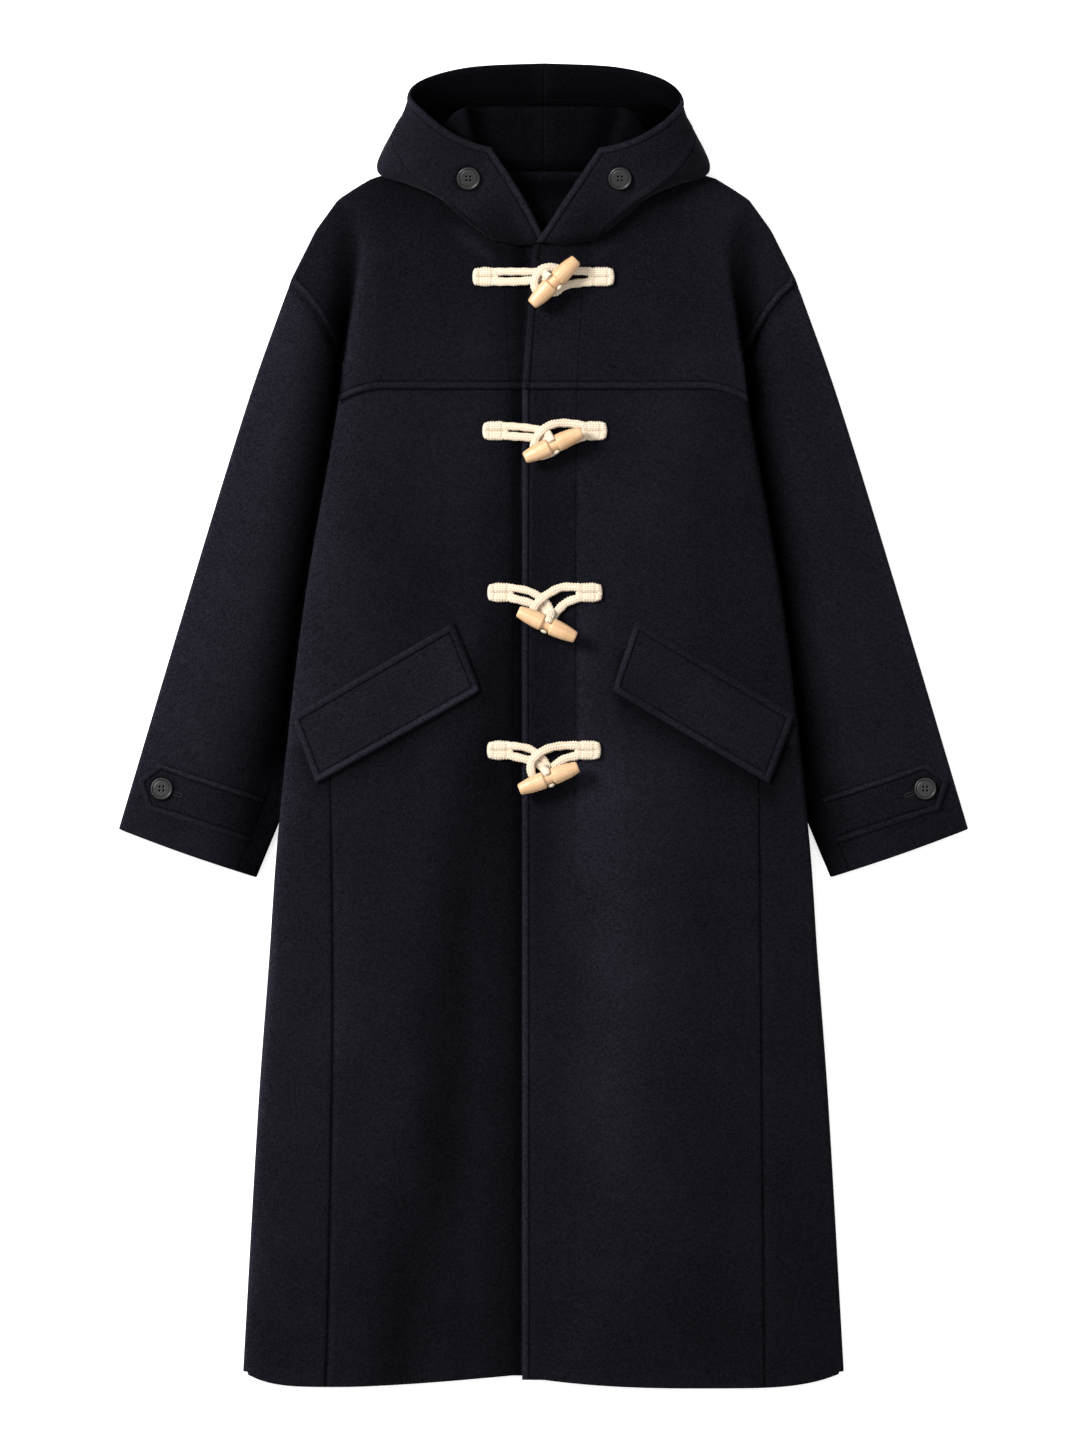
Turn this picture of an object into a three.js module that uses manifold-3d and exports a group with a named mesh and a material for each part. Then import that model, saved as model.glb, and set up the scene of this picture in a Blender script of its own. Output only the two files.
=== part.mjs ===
// A long hooded duffle coat of heavy felted wool, fastened with four wooden toggles, laid flat on its
// back with its sleeves tucked under the body and its hood folded open behind the neck.
// Millimetres. +Z is up from the surface it lies on, +Y runs from the hem to the hood, and +X is the
// wearer's left. The origin is on that surface, under the middle of the coat's outline.
import * as THREE from "three";
import { mergeVertices } from "three/addons/utils/BufferGeometryUtils.js";
import Module from "manifold-3d";

const wasm = await Module();
wasm.setup();

// ---- Driving dimensions ----
const CLOTH = 2.4; // felted wool wall
const GAP = 0.3; // between pieces that meet
const STACK = CLOTH + GAP; // one layer on another
const DOUBLE = 3.6; // faced pieces: pocket flaps and cuff straps
const LOOSE = 3.9; // air between the back and the fronts
const FLAT = 2 * CLOTH + LOOSE; // height of a front's outer face over the surface
const FRONT_EDGE = -18; // x of the left front's edge, which laps over the right front
const UNDER_EDGE = 21; // x of the right front's edge, hidden under the left front
const LAP_DROP = CLOTH + 0.9; // how far the right front lies below the left one under the lap
const YOKE_EDGE = 320; // y of the yoke's lower edge at the middle
const YOKE_EDGE_FALL = 13; // how far that edge curves down towards the side
const YOKE_LAP = 15; // how far the front runs up under the yoke
const NECK_RISE = 7; // the folded hood lifts the back neck by this much
const SLEEVE_HIGH = 8.4; // laid sleeve, where it shows
const SLEEVE_LOW = 6.4; // laid sleeve, pressed under the body
const SLEEVE_LIFT = SLEEVE_LOW + 1; // the body is lifted this much over a sleeve
const SLEEVE_SEAM_INSET = 19.4; // sleeve seam in from the inner fold
const LIFT_RAMP = { under: 26, top: 90, start: 14 }; // the body comes down beside a sleeve over these
const LIFT_END = { y: 378, over: 36 }; // the lift over the sleeves ends at this y, over this length
const NECK_OVAL = { y: 528, wide: 88, long: 58 }; // the lifted part of the back neck: centre, half sizes

// Half width of the body, from the hem to where the yoke's side fold fades.
const BODY = [
  { y: -612, half: 285 },
  { y: -355, half: 270.2 },
  { y: -220, half: 260.2 },
  { y: -100, half: 251.5 },
  { y: 118, half: 226.5 },
  { y: 309, half: 194 },
  { y: 382, half: 186.5 },
];
// Hem of each front: lowest between the middle and the side, rising to the front edge by a power of
// the distance, and to the corner by another.
const HEM = {
  left: { low: -628, lowAt: 145, front: -619.8, corner: -612, power: 2.4 },
  right: { low: -626.6, lowAt: 190, front: -612.6, corner: -612, power: 1.45 },
};
const HEM_CORNER_POWER = 4.2;
const BACK_HEM = -616; // the back ends a little above the fronts
// x of the seam between front and side panel, from the hem to the pocket.
const PANEL_SEAM = [
  { y: -628, x: 210 },
  { y: 30, x: 204 },
];
// Pocket mouth: the line that the flap hangs from, up and inwards.
const MOUTH = { x: 238.5, y: 11.4, slope: 0.568, under: 8 };
// The largest soft folds of the fronts: a ridge (or trough, below zero) from one point to another.
const FOLDS = [
  { side: 1, x0: 95, y0: -60, x1: 75, y1: -560, wide: 42, high: 1.8 },
  { side: 1, x0: 30, y0: -120, x1: 22, y1: -600, wide: 26, high: -1.3 },
  { side: 1, x0: 160, y0: -180, x1: 175, y1: -610, wide: 34, high: -1.2 },
  { side: -1, x0: 150, y0: -80, x1: 160, y1: -600, wide: 40, high: 1.5 },
  { side: -1, x0: 80, y0: -100, x1: 66, y1: -610, wide: 38, high: -1.6 },
  { side: 1, x0: 60, y0: 300, x1: 110, y1: 120, wide: 45, high: 1.2 },
  { side: -1, x0: 60, y0: 300, x1: 110, y1: 120, wide: 45, high: 1.2 },
];
// Sleeve edges laid flat, from the cuff to the armhole: outer fold, inner fold.
const SLEEVE = [
  { at: 0, outerX: 403, outerY: -97.4, innerX: 272.3, innerY: -143.2 },
  { at: 0.78, outerX: 279.6, outerY: 309.5, innerX: 160, innerY: 136.5 },
  { at: 1, outerX: 240.2, outerY: 420.6, innerX: 131, innerY: 214.7 },
];
// The sleeve's end along the armhole, off the straight line from shoulder tip to underarm.
const ARMHOLE = [
  { f: 0, off: 0 },
  { f: 0.13, off: 9 },
  { f: 0.36, off: 9 },
  { f: 0.49, off: -8 },
  { f: 1, off: -8 },
];

// ---- Small helpers ----
const clamp = (t, low = 0, high = 1) => Math.min(high, Math.max(low, t));
const smooth = (t) => clamp(t) ** 2 * (3 - 2 * clamp(t));
const mix = (a, b, t) => a + (b - a) * t;
const V = (x, y, z) => new THREE.Vector3(x, y, z);
const range = (n, from = 0, to = 1) => Array.from({ length: n + 1 }, (_, i) => mix(from, to, i / n));

// A smooth curve through a table's rows: one column as a function of another, by cubic Hermite steps.
function curve(rows, key, value) {
  const k = rows.map((r) => r[key]);
  const v = rows.map((r) => r[value]);
  const slope = k.map((_, i) => {
    const a = Math.max(i - 1, 0);
    const b = Math.min(i + 1, k.length - 1);
    return (v[b] - v[a]) / (k[b] - k[a]);
  });
  return (at) => {
    let i = 0;
    while (i < k.length - 2 && at > k[i + 1]) i++;
    const h = k[i + 1] - k[i];
    const t = clamp((at - k[i]) / h);
    const [t2, t3] = [t * t, t * t * t];
    return (
      (2 * t3 - 3 * t2 + 1) * v[i] +
      (t3 - 2 * t2 + t) * h * slope[i] +
      (3 * t2 - 2 * t3) * v[i + 1] +
      (t3 - t2) * h * slope[i + 1]
    );
  };
}

// A Catmull-Rom curve through points at whole numbers of t.
function spline(points, t) {
  const last = points.length - 1;
  const i = clamp(Math.floor(t), 0, last - 1);
  const s = t - i;
  const p = (j) => points[clamp(j, 0, last)];
  const [a, b, c, d] = [p(i - 1), p(i), p(i + 1), p(i + 2)];
  const along = (q) =>
    0.5 * (2 * b[q] + (c[q] - a[q]) * s + (2 * a[q] - 5 * b[q] + 4 * c[q] - d[q]) * s * s +
      (3 * b[q] - a[q] - 3 * c[q] + d[q]) * s ** 3);
  return V(along("x"), along("y"), along("z"));
}

// A closed mesh from two matched grids of points, outer and inner, with walls round its edge.
// keep(i, j) says whether a cell of the grid is there.
function wall(outer, inner, keep = () => true) {
  const rows = outer.length;
  const cols = outer[0].length;
  const points = [...outer.flat(), ...inner.flat()];
  const under = rows * cols;
  const at = (i, j) => i * cols + j;
  const triangles = [];
  const quad = (a, b, c, d) => triangles.push(a, b, c, a, c, d);
  const there = (i, j) => i >= 0 && j >= 0 && i < rows - 1 && j < cols - 1 && keep(i, j);
  for (let i = 0; i < rows - 1; i++)
    for (let j = 0; j < cols - 1; j++) {
      if (!there(i, j)) continue;
      const [a, b, c, d] = [at(i, j), at(i, j + 1), at(i + 1, j + 1), at(i + 1, j)];
      quad(a, b, c, d);
      quad(under + d, under + c, under + b, under + a);
      if (!there(i - 1, j)) quad(b, a, under + a, under + b);
      if (!there(i + 1, j)) quad(d, c, under + c, under + d);
      if (!there(i, j - 1)) quad(a, d, under + d, under + a);
      if (!there(i, j + 1)) quad(c, b, under + b, under + c);
    }
  return closed(points, triangles);
}

// A geometry from points and triangles, turned so that its faces point out.
function closed(points, triangles) {
  let volume = 0;
  for (let i = 0; i < triangles.length; i += 3) {
    const [a, b, c] = [0, 1, 2].map((k) => points[triangles[i + k]]);
    volume += a.dot(b.clone().cross(c));
  }
  const faces = volume > 0 ? triangles : triangles.slice().reverse();
  const numbers = points.flatMap((p) => p.toArray());
  const geometry = new THREE.BufferGeometry();
  geometry.setAttribute("position", new THREE.Float32BufferAttribute(numbers, 3));
  geometry.setIndex(faces);
  return geometry;
}

// ---- The laid body ----
const halfAt = curve(BODY, "y", "half");
const seamAt = curve(PANEL_SEAM, "y", "x");
const hemAt = (name, x) => {
  const h = HEM[name];
  if (x < h.lowAt) return mix(h.low, h.front, clamp((h.lowAt - x) / h.lowAt) ** h.power);
  return mix(h.low, h.corner, clamp((x - h.lowAt) / (BODY[0].half - h.lowAt)) ** HEM_CORNER_POWER);
};
const mouthAt = (x) => MOUTH.y - MOUTH.under + (MOUTH.x - x) * MOUTH.slope;
const yokeEdgeAt = (x) => YOKE_EDGE - YOKE_EDGE_FALL * clamp((x - 150) / 45) ** 2;

// Signed distance of a point from the line through a and b, growing to the line's left.
const beyond = (x, y, a, b) => {
  const [dx, dy] = [b.x - a.x, b.y - a.y];
  return (dx * (y - a.y) - dy * (x - a.x)) / Math.hypot(dx, dy);
};
const outerX = curve(SLEEVE, "at", "outerX");
const outerY = curve(SLEEVE, "at", "outerY");
const innerX = curve(SLEEVE, "at", "innerX");
const innerY = curve(SLEEVE, "at", "innerY");
const armholeOff = curve(ARMHOLE, "f", "off");
const tip = { x: outerX(1), y: outerY(1) };
const underarm = { x: innerX(1), y: innerY(1) };
const armholeLong = Math.hypot(tip.x - underarm.x, tip.y - underarm.y);
const across = { x: (underarm.x - tip.x) / armholeLong, y: (underarm.y - tip.y) / armholeLong };
// A point of the armhole curve, f of the way from shoulder tip to underarm. Off it is towards the body.
const armholeAt = (f, more = 0) => ({
  x: mix(tip.x, underarm.x, f) + across.y * (armholeOff(f) + more),
  y: mix(tip.y, underarm.y, f) - across.x * (armholeOff(f) + more),
});

// How far the body's under layer is lifted off the surface where it lies over a sleeve.
function sleeveLift(x, y, ramp = LIFT_RAMP.under) {
  const end = beyond(x, y, armholeAt(0.5), armholeAt(1));
  const inner = beyond(x, y, { x: innerX(0), y: innerY(0) }, underarm);
  const away = Math.max(-end, inner) - LIFT_RAMP.start;
  return SLEEVE_LIFT * (1 - smooth(away / ramp)) * smooth((LIFT_END.y - y) / LIFT_END.over);
}
// How far the folded hood lifts the back neck.
function neckLift(x, y) {
  const share = Math.hypot(x / NECK_OVAL.wide, (y - NECK_OVAL.y) / NECK_OVAL.long);
  return NECK_RISE * (1 - smooth((share - 1) * 2));
}
const underAt = (x, y) => Math.hypot(sleeveLift(x, y), neckLift(x, y));

// The shoulder's side fold: x of its crest, and how high the cloth stands there.
const CREST = [
  { y: 300, x: 189, high: 5.7 },
  { y: 340, x: 186, high: 5.7 },
  { y: 382, x: 181, high: 5.6 },
  { y: 419, x: 175, high: 5 },
  { y: 452, x: 172, high: 3.2 },
  { y: 485, x: 176, high: 0.8 },
  { y: 521, x: 182, high: 0 },
];
const crestX = curve(CREST, "y", "x");
const crestHigh = curve(CREST, "y", "high");
const CREST_END = 260; // the fold has faded out at this y
const CREST_FOOT = 60; // x where the cloth begins to rise to the crest
function bulge(x, y) {
  if (y < CREST_END) return 0;
  const rise = smooth((x - CREST_FOOT) / (crestX(y) - CREST_FOOT - 10));
  return smooth((y - CREST_END) / 60) * crestHigh(y) * rise;
}

function foldsAt(side, x, y) {
  let z = 0;
  for (const f of FOLDS) {
    if (f.side !== side) continue;
    const [dx, dy] = [f.x1 - f.x0, f.y1 - f.y0];
    const long = Math.hypot(dx, dy);
    const t = ((x - f.x0) * dx + (y - f.y0) * dy) / (long * long);
    const away = Math.abs((x - f.x0) * dy - (y - f.y0) * dx) / long;
    z += f.high * smooth((t + 0.12) / 0.3) * smooth((1.2 - t) / 0.3) * Math.exp(-((away / f.wide) ** 2));
  }
  return z;
}
// Share of the right front's own shape given up to the left front that lies over it.
const lapShare = (x) => smooth((34 - x) / 16);
// The outer face of the fronts. x grows from the middle to the side, on either side.
function frontTop(side, x, y) {
  const lap = 1.2 * (1 - smooth((Math.abs(x) - 24) / 40));
  const lift = sleeveLift(x, y, LIFT_RAMP.top);
  const under = side > 0 ? 0 : lapShare(x);
  const folds = mix(foldsAt(side, x, y), foldsAt(1, -x, y), under);
  return FLAT + Math.hypot(lift, bulge(x, y), neckLift(x, y)) + lap + folds;
}
// The same under the lap, where the right front runs below the left one.
const lapDrop = (side, x) => (side > 0 ? 0 : LAP_DROP * lapShare(x));

// A closed piece of cloth about a grid of points on its middle surface, half its thickness to each side.
function shell(grid, thick = CLOTH, keep) {
  const rows = grid.length;
  const cols = grid[0].length;
  const normal = (i, j) => {
    const du = grid[i][Math.min(j + 1, cols - 1)].clone().sub(grid[i][Math.max(j - 1, 0)]);
    const dv = grid[Math.min(i + 1, rows - 1)][j].clone().sub(grid[Math.max(i - 1, 0)][j]);
    return du.cross(dv).normalize();
  };
  const face = (by) => grid.map((row, i) => row.map((p, j) => p.clone().addScaledVector(normal(i, j), by)));
  return wall(face(thick / 2), face(-thick / 2), keep);
}

// ---- The outline of the back, which the side seams, armholes and shoulders share ----
const SIDE_SEAM = [
  { y: -612, x: 262 },
  { y: -355, x: 248 },
  { y: -150, x: 232 },
  { y: 40, x: 204 },
  { y: 150, x: 168 },
];
const SHOULDER = [
  { x: 88, y: 531 },
  { x: 125, y: 534 },
  { x: 161, y: 527 },
  { x: 194, y: 500 },
  { x: 215, y: 470 },
  { x: 238.6, y: 422.8 },
];
const SHOULDER_TURN = 14; // the yoke turns under the shoulder's edge by this much
const line = (rows, key, value) => (at) => {
  let i = 0;
  while (i < rows.length - 2 && at > rows[i + 1][key]) i++;
  const t = (at - rows[i][key]) / (rows[i + 1][key] - rows[i][key]);
  return mix(rows[i][value], rows[i + 1][value], clamp(t));
};

// The armhole from underarm to shoulder tip, as rows growing in y, moved more millimetres off the sleeve.
const armholeRows = (more) => range(12).map((t) => armholeAt(1 - t, more));
// The side of the back: side seam, armhole, then the shoulder inside its turned edge.
const sideSeamX = curve([...SIDE_SEAM, underarm], "y", "x");
const backSide = [
  ...range(24, BODY[0].y, underarm.y).slice(0, -1).map((y) => ({ x: sideSeamX(y), y })),
  ...armholeRows(15).filter((p) => p.y < 350),
  ...armholeRows(2).filter((p) => p.y >= 350 && p.y < 405),
  { x: 196, y: 465 },
  { x: 176, y: 490 },
  { x: 150, y: 511 },
  { x: 138, y: 517 },
];
const backSideX = line(backSide, "y", "x");

// ---- Back ----
const BACK_ROWS = [
  ...range(9, BODY[0].y, 150).slice(1),
  185,
  ...backSide.filter((p) => p.y > 210).map((p) => p.y),
  420,
  442,
].sort((a, b) => a - b);
const HALF_BACK = [0.3, 0.56, 0.76, 0.89, 1]; // columns, as shares of the half width
function back() {
  const columns = [...HALF_BACK.map((u) => -u).reverse(), 0, ...HALF_BACK];
  const row = (y, side) =>
    columns.map((u) => V(u * side, y, underAt(Math.abs(u) * side, y) + CLOTH / 2));
  const hem = row(BACK_HEM, backSideX(BODY[0].y));
  return shell([hem, ...BACK_ROWS.map((y) => row(y, backSideX(y)))]);
}

// ---- Fronts and side panels ----
// A point of the fronts' middle surface, a measured distance past the start of the side fold:
// x grows to the fold, then the cloth turns under and comes back to the side seam.
const SEAM_UNDER = 2.5; // from the back to the edge of the front or side panel turned under
const TURN = 5; // steps round the side fold
const FOLD_START = 6; // the side fold starts this far inside the outline
function wrapColumns(side, y) {
  const half = halfAt(y);
  const low = underAt(half - FOLD_START, y) + CLOTH / 2;
  const high = frontTop(side, half - FOLD_START, y) - CLOTH / 2;
  const r = (high - low) / 2;
  const middle = half - CLOTH / 2 - r;
  const turned = range(TURN).map((t) => ({
    x: middle + r * Math.sin(Math.PI * t),
    z: (high + low) / 2 + r * Math.cos(Math.PI * t),
  }));
  const under = range(3).slice(1).map((t) => {
    const x = mix(middle, backSideX(y) + SEAM_UNDER, t);
    return { x, z: underAt(x, y) + CLOTH / 2 };
  });
  return [...turned, ...under].map((p) => V(side * p.x, y, p.z));
}
const middleOf = (side, x, y) => V(side * x, y, frontTop(side, x, y) - CLOTH / 2 - lapDrop(side, x));
const edgeOf = (side) => (side > 0 ? FRONT_EDGE : -UNDER_EDGE);
const nameOf = (side) => (side > 0 ? "left" : "right");
const INNER = [0, 0.07, 0.13, 0.205, 0.29, 0.4, 0.52, 0.64, 0.76, 0.88, 1];
const LAP_COLUMNS = 3; // columns of the right front and yoke that lie under the left ones
const FRONT_TOP_COLUMN = 176; // x of the last column before the side fold, at the yoke
const FRONT_CORNER = 190; // x of the front's top corner
const LOWER = range(9);
const UPPER = [0.14, 0.3, 0.46, 0.6, 0.72, 0.83, 0.93, 1];
const yokeLapTop = (x) => yokeEdgeAt(x) + YOKE_LAP;
// The ends of the seam between front and side panel, and of the side seam beside it.
const SEAM_TOP = { x: 204, y: mouthAt(204) };
const sideTop = mouthAt(halfAt(0));

function front(side) {
  // One row runs from the front edge to the seam, then round the side fold.
  const row = (seam, yAt, sideY) => {
    const xs = INNER.map((u) => mix(edgeOf(side), seam, u));
    return [...xs.map((x) => middleOf(side, x, yAt(x))), ...wrapColumns(side, sideY)];
  };
  const hem = (x) => hemAt(nameOf(side), x);
  const lower = LOWER.map((v) => {
    const seam = seamAt(mix(hem(PANEL_SEAM[0].x), SEAM_TOP.y, v));
    return row(seam, (x) => mix(hem(x), mouthAt(x), v), mix(BODY[0].y, sideTop, v) + GAP / 2);
  });
  const upper = UPPER.map((v) => {
    const seam = mix(SEAM_TOP.x, FRONT_TOP_COLUMN, v);
    return row(seam, (x) => mix(mouthAt(x), yokeLapTop(x), v), mix(sideTop, yokeLapTop(FRONT_CORNER), v));
  });
  const first = LOWER.length - 1;
  return shell([...lower, ...upper], CLOTH, (i, j) => i >= first || j < INNER.length - 1);
}

const MOUTH_GAP = 1.2; // between front and side panel at the pocket, hidden under the flap
function sidePanel(side) {
  const grid = LOWER.map((v) => {
    const gap = v === 1 ? MOUTH_GAP : 0;
    const seamY = mix(hemAt(nameOf(side), PANEL_SEAM[0].x), SEAM_TOP.y, v) - gap;
    const sideY = mix(BODY[0].y, sideTop, v) - gap;
    const turned = wrapColumns(side, sideY);
    const start = seamAt(seamY) + 2 * GAP;
    const flat = [0, 0.4, 0.8].map((u) =>
      middleOf(side, mix(start, Math.abs(turned[0].x), u), mix(seamY, sideY, u)),
    );
    return [...flat, ...turned];
  });
  return shell(grid);
}

// ---- Yokes ----
// The yoke's neck edge, from near the front edge to the shoulder.
const NECK = [
  { x: 43, y: 459 },
  { x: 74, y: 478 },
  { x: 87, y: 503 },
];
const NECK_Y = 457; // where the neck edge meets the front edge
const NECK_STEPS = 6; // columns of the yoke that end at the neck
const TURN_END = 3; // the turned edge stops this much short
const YOKE_OVER = STACK + 0.6; // rise of the yoke where it laps over the front
const drop = (x, y) => 1 - smooth((x - crestX(y)) / 9) * smooth((y - 332) / 20);
function yokeTopZ(side, x, y) {
  const over = YOKE_OVER * (1 - smooth((y - 343) / 26));
  const low = FLAT + Math.hypot(sleeveLift(x, y), neckLift(x, y));
  return low + (frontTop(side, x, y) - low + over) * drop(x, y);
}
const along = (rows, t) => {
  const lengths = rows.slice(1).map((r, i) => Math.hypot(r.x - rows[i].x, r.y - rows[i].y));
  let left = t * lengths.reduce((a, b) => a + b, 0);
  let i = 0;
  while (i < lengths.length - 1 && left > lengths[i]) left -= lengths[i++];
  const part = left / lengths[i];
  return { x: mix(rows[i].x, rows[i + 1].x, part), y: mix(rows[i].y, rows[i + 1].y, part) };
};
function yoke(side) {
  const start = edgeOf(side);
  const neckStart = { x: side > 0 ? -8 : -20, y: NECK_Y };
  const xs = [...INNER.map((u) => mix(start, FRONT_TOP_COLUMN, u)), 181, 186, FRONT_CORNER];
  const bottoms = xs.map((x) => ({ x, y: yokeEdgeAt(x) }));
  const columns = xs.length - 1;
  const tops = [
    ...range(NECK_STEPS).map((t) => along([neckStart, ...NECK, SHOULDER[0]], t)),
    ...range(columns - NECK_STEPS).slice(1).map((t) => along(SHOULDER, t)),
  ];
  const hole = armholeRows(GAP).filter((p) => p.y > 353);
  const edge = [bottoms[columns], { x: FRONT_CORNER + 0.4, y: 352 }, ...hole, tops[columns]];
  const left = (v) => ({ x: mix(start, neckStart.x, v), y: mix(YOKE_EDGE, neckStart.y, v) });
  const lapV = (YOKE_LAP + 1.5) / (NECK_Y - YOKE_EDGE);
  const vs = [0, lapV, ...range(8, lapV, 1).slice(1)];
  const grid = vs.map((v) =>
    xs.map((_, j) => {
      // A Coons patch: the blend of opposite edges, less the blend of the corners.
      const u = j / columns;
      const [b, t, l, r] = [bottoms[j], tops[j], left(v), along(edge, v)];
      const put = (q) => {
        const low = mix(bottoms[0][q], bottoms[columns][q], u);
        const high = mix(tops[0][q], tops[columns][q], u);
        return mix(b[q], t[q], v) + mix(l[q], r[q], u) - mix(low, high, v);
      };
      const [x, y] = [put("x"), put("y")];
      return V(side * x, y, yokeTopZ(side, x, y) - CLOTH / 2 - lapDrop(side, x));
    }),
  );
  // The turned edge along the shoulder.
  const last = grid[grid.length - 1];
  const inwardOf = (j) => {
    const [a, b] = [last[Math.max(j - 1, NECK_STEPS)], last[Math.min(j + 1, columns)]];
    const d = V(b.x - a.x, b.y - a.y, 0).normalize();
    return V(side * d.y, -side * d.x, 0);
  };
  const turns = range(4).slice(1);
  const turned = turns.map(() => last.map((p) => p.clone()));
  const under = last.map((p) => p.clone());
  for (let j = NECK_STEPS; j <= columns; j++) {
    const low = underAt(Math.abs(last[j].x), last[j].y) + CLOTH / 2;
    const r = (last[j].z - low) / 2;
    const inward = inwardOf(j);
    const centre = last[j].clone().addScaledVector(inward, r);
    last[j] = centre.clone();
    turns.forEach((t, k) => {
      turned[k][j] = centre.clone().addScaledVector(inward, -r * Math.sin(Math.PI * t));
      turned[k][j].z = low + r + r * Math.cos(Math.PI * t);
    });
    under[j] = centre.clone().addScaledVector(inward, SHOULDER_TURN - r - TURN_END);
    under[j].z = underAt(Math.abs(under[j].x), under[j].y) + CLOTH / 2;
  }
  const all = [...grid, ...turned, under];
  const rows = grid.length;
  // The right yoke starts at the left one's edge where it laps over the front.
  const hidden = (i, j) => side < 0 && i === 0 && j < LAP_COLUMNS;
  return shell(all, CLOTH, (i, j) => (i < rows - 1 ? !hidden(i, j) : j >= NECK_STEPS));
}

// ---- Sleeves: flattened tubes, each of a top and an under piece ----
const AT = [0, 0.14, 0.28, 0.42, 0.55, 0.66, 0.76, 0.86, 0.94, 1];
function sleevePoint(side, at, c, face) {
  // c runs from the inner fold (0) to the outer fold (1); face is the height round the fold, -1 to 1.
  const inner = { x: innerX(at), y: innerY(at) };
  const outer = { x: outerX(at), y: outerY(at) };
  const end = armholeAt(1 - c, -GAP);
  const straight = { x: mix(underarm.x, tip.x, c), y: mix(underarm.y, tip.y, c) };
  const x = mix(inner.x, outer.x, c) + (end.x - straight.x) * at ** 7;
  const y = mix(inner.y, outer.y, c) + (end.y - straight.y) * at ** 7;
  const tall = mix(SLEEVE_LOW, SLEEVE_HIGH, smooth((x - halfAt(Math.min(y, 380)) - 2) / 34));
  const r = (tall - CLOTH) / 2;
  return { x, y, r, z: r + CLOTH / 2 + face * r };
}
function sleeve(side, which) {
  const wide = Math.hypot(outerX(0) - innerX(0), outerY(0) - innerY(0));
  const inset = SLEEVE_SEAM_INSET / wide;
  const fold = range(4);
  const pieces = {
    top: [
      ...range(7, inset + GAP / 2 / wide, 0.97).map((c) => [c, 1, 0]),
      ...fold.slice(1, -1).map((t) => [1, Math.cos(Math.PI * t), Math.sin(Math.PI * t)]),
      ...range(1, 0.97, 0.8).map((c) => [c, -1, 0]),
    ],
    under: [
      ...range(4, 0.8 - GAP / wide, 0.03).map((c) => [c, -1, 0]),
      ...fold.slice(1, -1).map((t) => [0, -Math.cos(Math.PI * t), Math.sin(Math.PI * t)]),
      ...range(1, 0.03, inset - GAP / 2 / wide).map((c) => [c, 1, 0]),
    ],
  };
  const grid = AT.map((at) =>
    pieces[which].map(([c, face, out]) => {
      const p = sleevePoint(side, at, c, face);
      const outward = c > 0.5 ? 1 : -1;
      const fromFold = c === 0 || c === 1 ? (p.r + CLOTH / 2) * outward : 0;
      const dx = outerX(at) - innerX(at);
      const dy = outerY(at) - innerY(at);
      const long = Math.hypot(dx, dy);
      const move = outward * p.r * out - fromFold;
      return V(side * (p.x + (move * dx) / long), p.y + (move * dy) / long, p.z);
    }),
  );
  return shell(grid);
}

// ---- Pocket flaps and cuff straps: faced pieces lying on the panels ----
// A plate on the cloth under a quadrilateral outline, its corners given in order round it.
function plate(side, corners, thick, baseAt, steps = [6, 4]) {
  const [a, b, c, d] = corners;
  const face = (by) =>
    range(steps[1]).map((v) =>
      range(steps[0]).map((u) => {
        const x = mix(mix(a.x, b.x, u), mix(d.x, c.x, u), v);
        const y = mix(mix(a.y, b.y, u), mix(d.y, c.y, u), v);
        return V(side * x, y, baseAt(x, y) + by);
      }),
    );
  return wall(face(thick), face(0));
}
const FLAP = {
  1: [{ x: 87.5, y: 100.7 }, { x: 238.5, y: 10.5 }, { x: 214, y: -54.2 }, { x: 64.8, y: 34.2 }],
  [-1]: [{ x: 85.4, y: 98.8 }, { x: 239.2, y: 9.2 }, { x: 215.5, y: -54 }, { x: 59.1, y: 33.9 }],
};
const FLAP_CLEAR = 0.9;
function pocketFlap(side) {
  const seat = (x, y) => frontTop(side, Math.min(x, halfAt(y) - 8), y) + FLAP_CLEAR;
  return plate(side, FLAP[side], DOUBLE, seat, [8, 4]);
}

const STRAP = {
  innerHigh: { x: 263.9, y: -66.8 },
  innerLow: { x: 278.3, y: -111.7 },
  outerHigh: { x: 362.4, y: -34.6 },
  outerLow: { x: 375, y: -79.5 },
  tip: { x: 384.8, y: -50.7 },
};
const cuffStrap = (side) => {
  const { innerHigh: a, outerHigh: b, outerLow: c, innerLow: d, tip: e } = STRAP;
  const outline = range(6).map((t) => ({
    high: t < 1 ? { x: mix(a.x, b.x, t), y: mix(a.y, b.y, t) } : b,
    low: { x: mix(d.x, c.x, t), y: mix(d.y, c.y, t) },
  }));
  const face = (by) =>
    outline.map((o, i) =>
      [0, 0.5, 1].map((v) => {
        const push = i === outline.length - 1 && v === 0.5 ? 1 : 0;
        const x = mix(mix(o.high.x, o.low.x, v), e.x, push);
        const y = mix(mix(o.high.y, o.low.y, v), e.y, push);
        return V(side * x, y, SLEEVE_HIGH + GAP + by);
      }),
    );
  return wall(face(DOUBLE), face(0));
};

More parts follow.
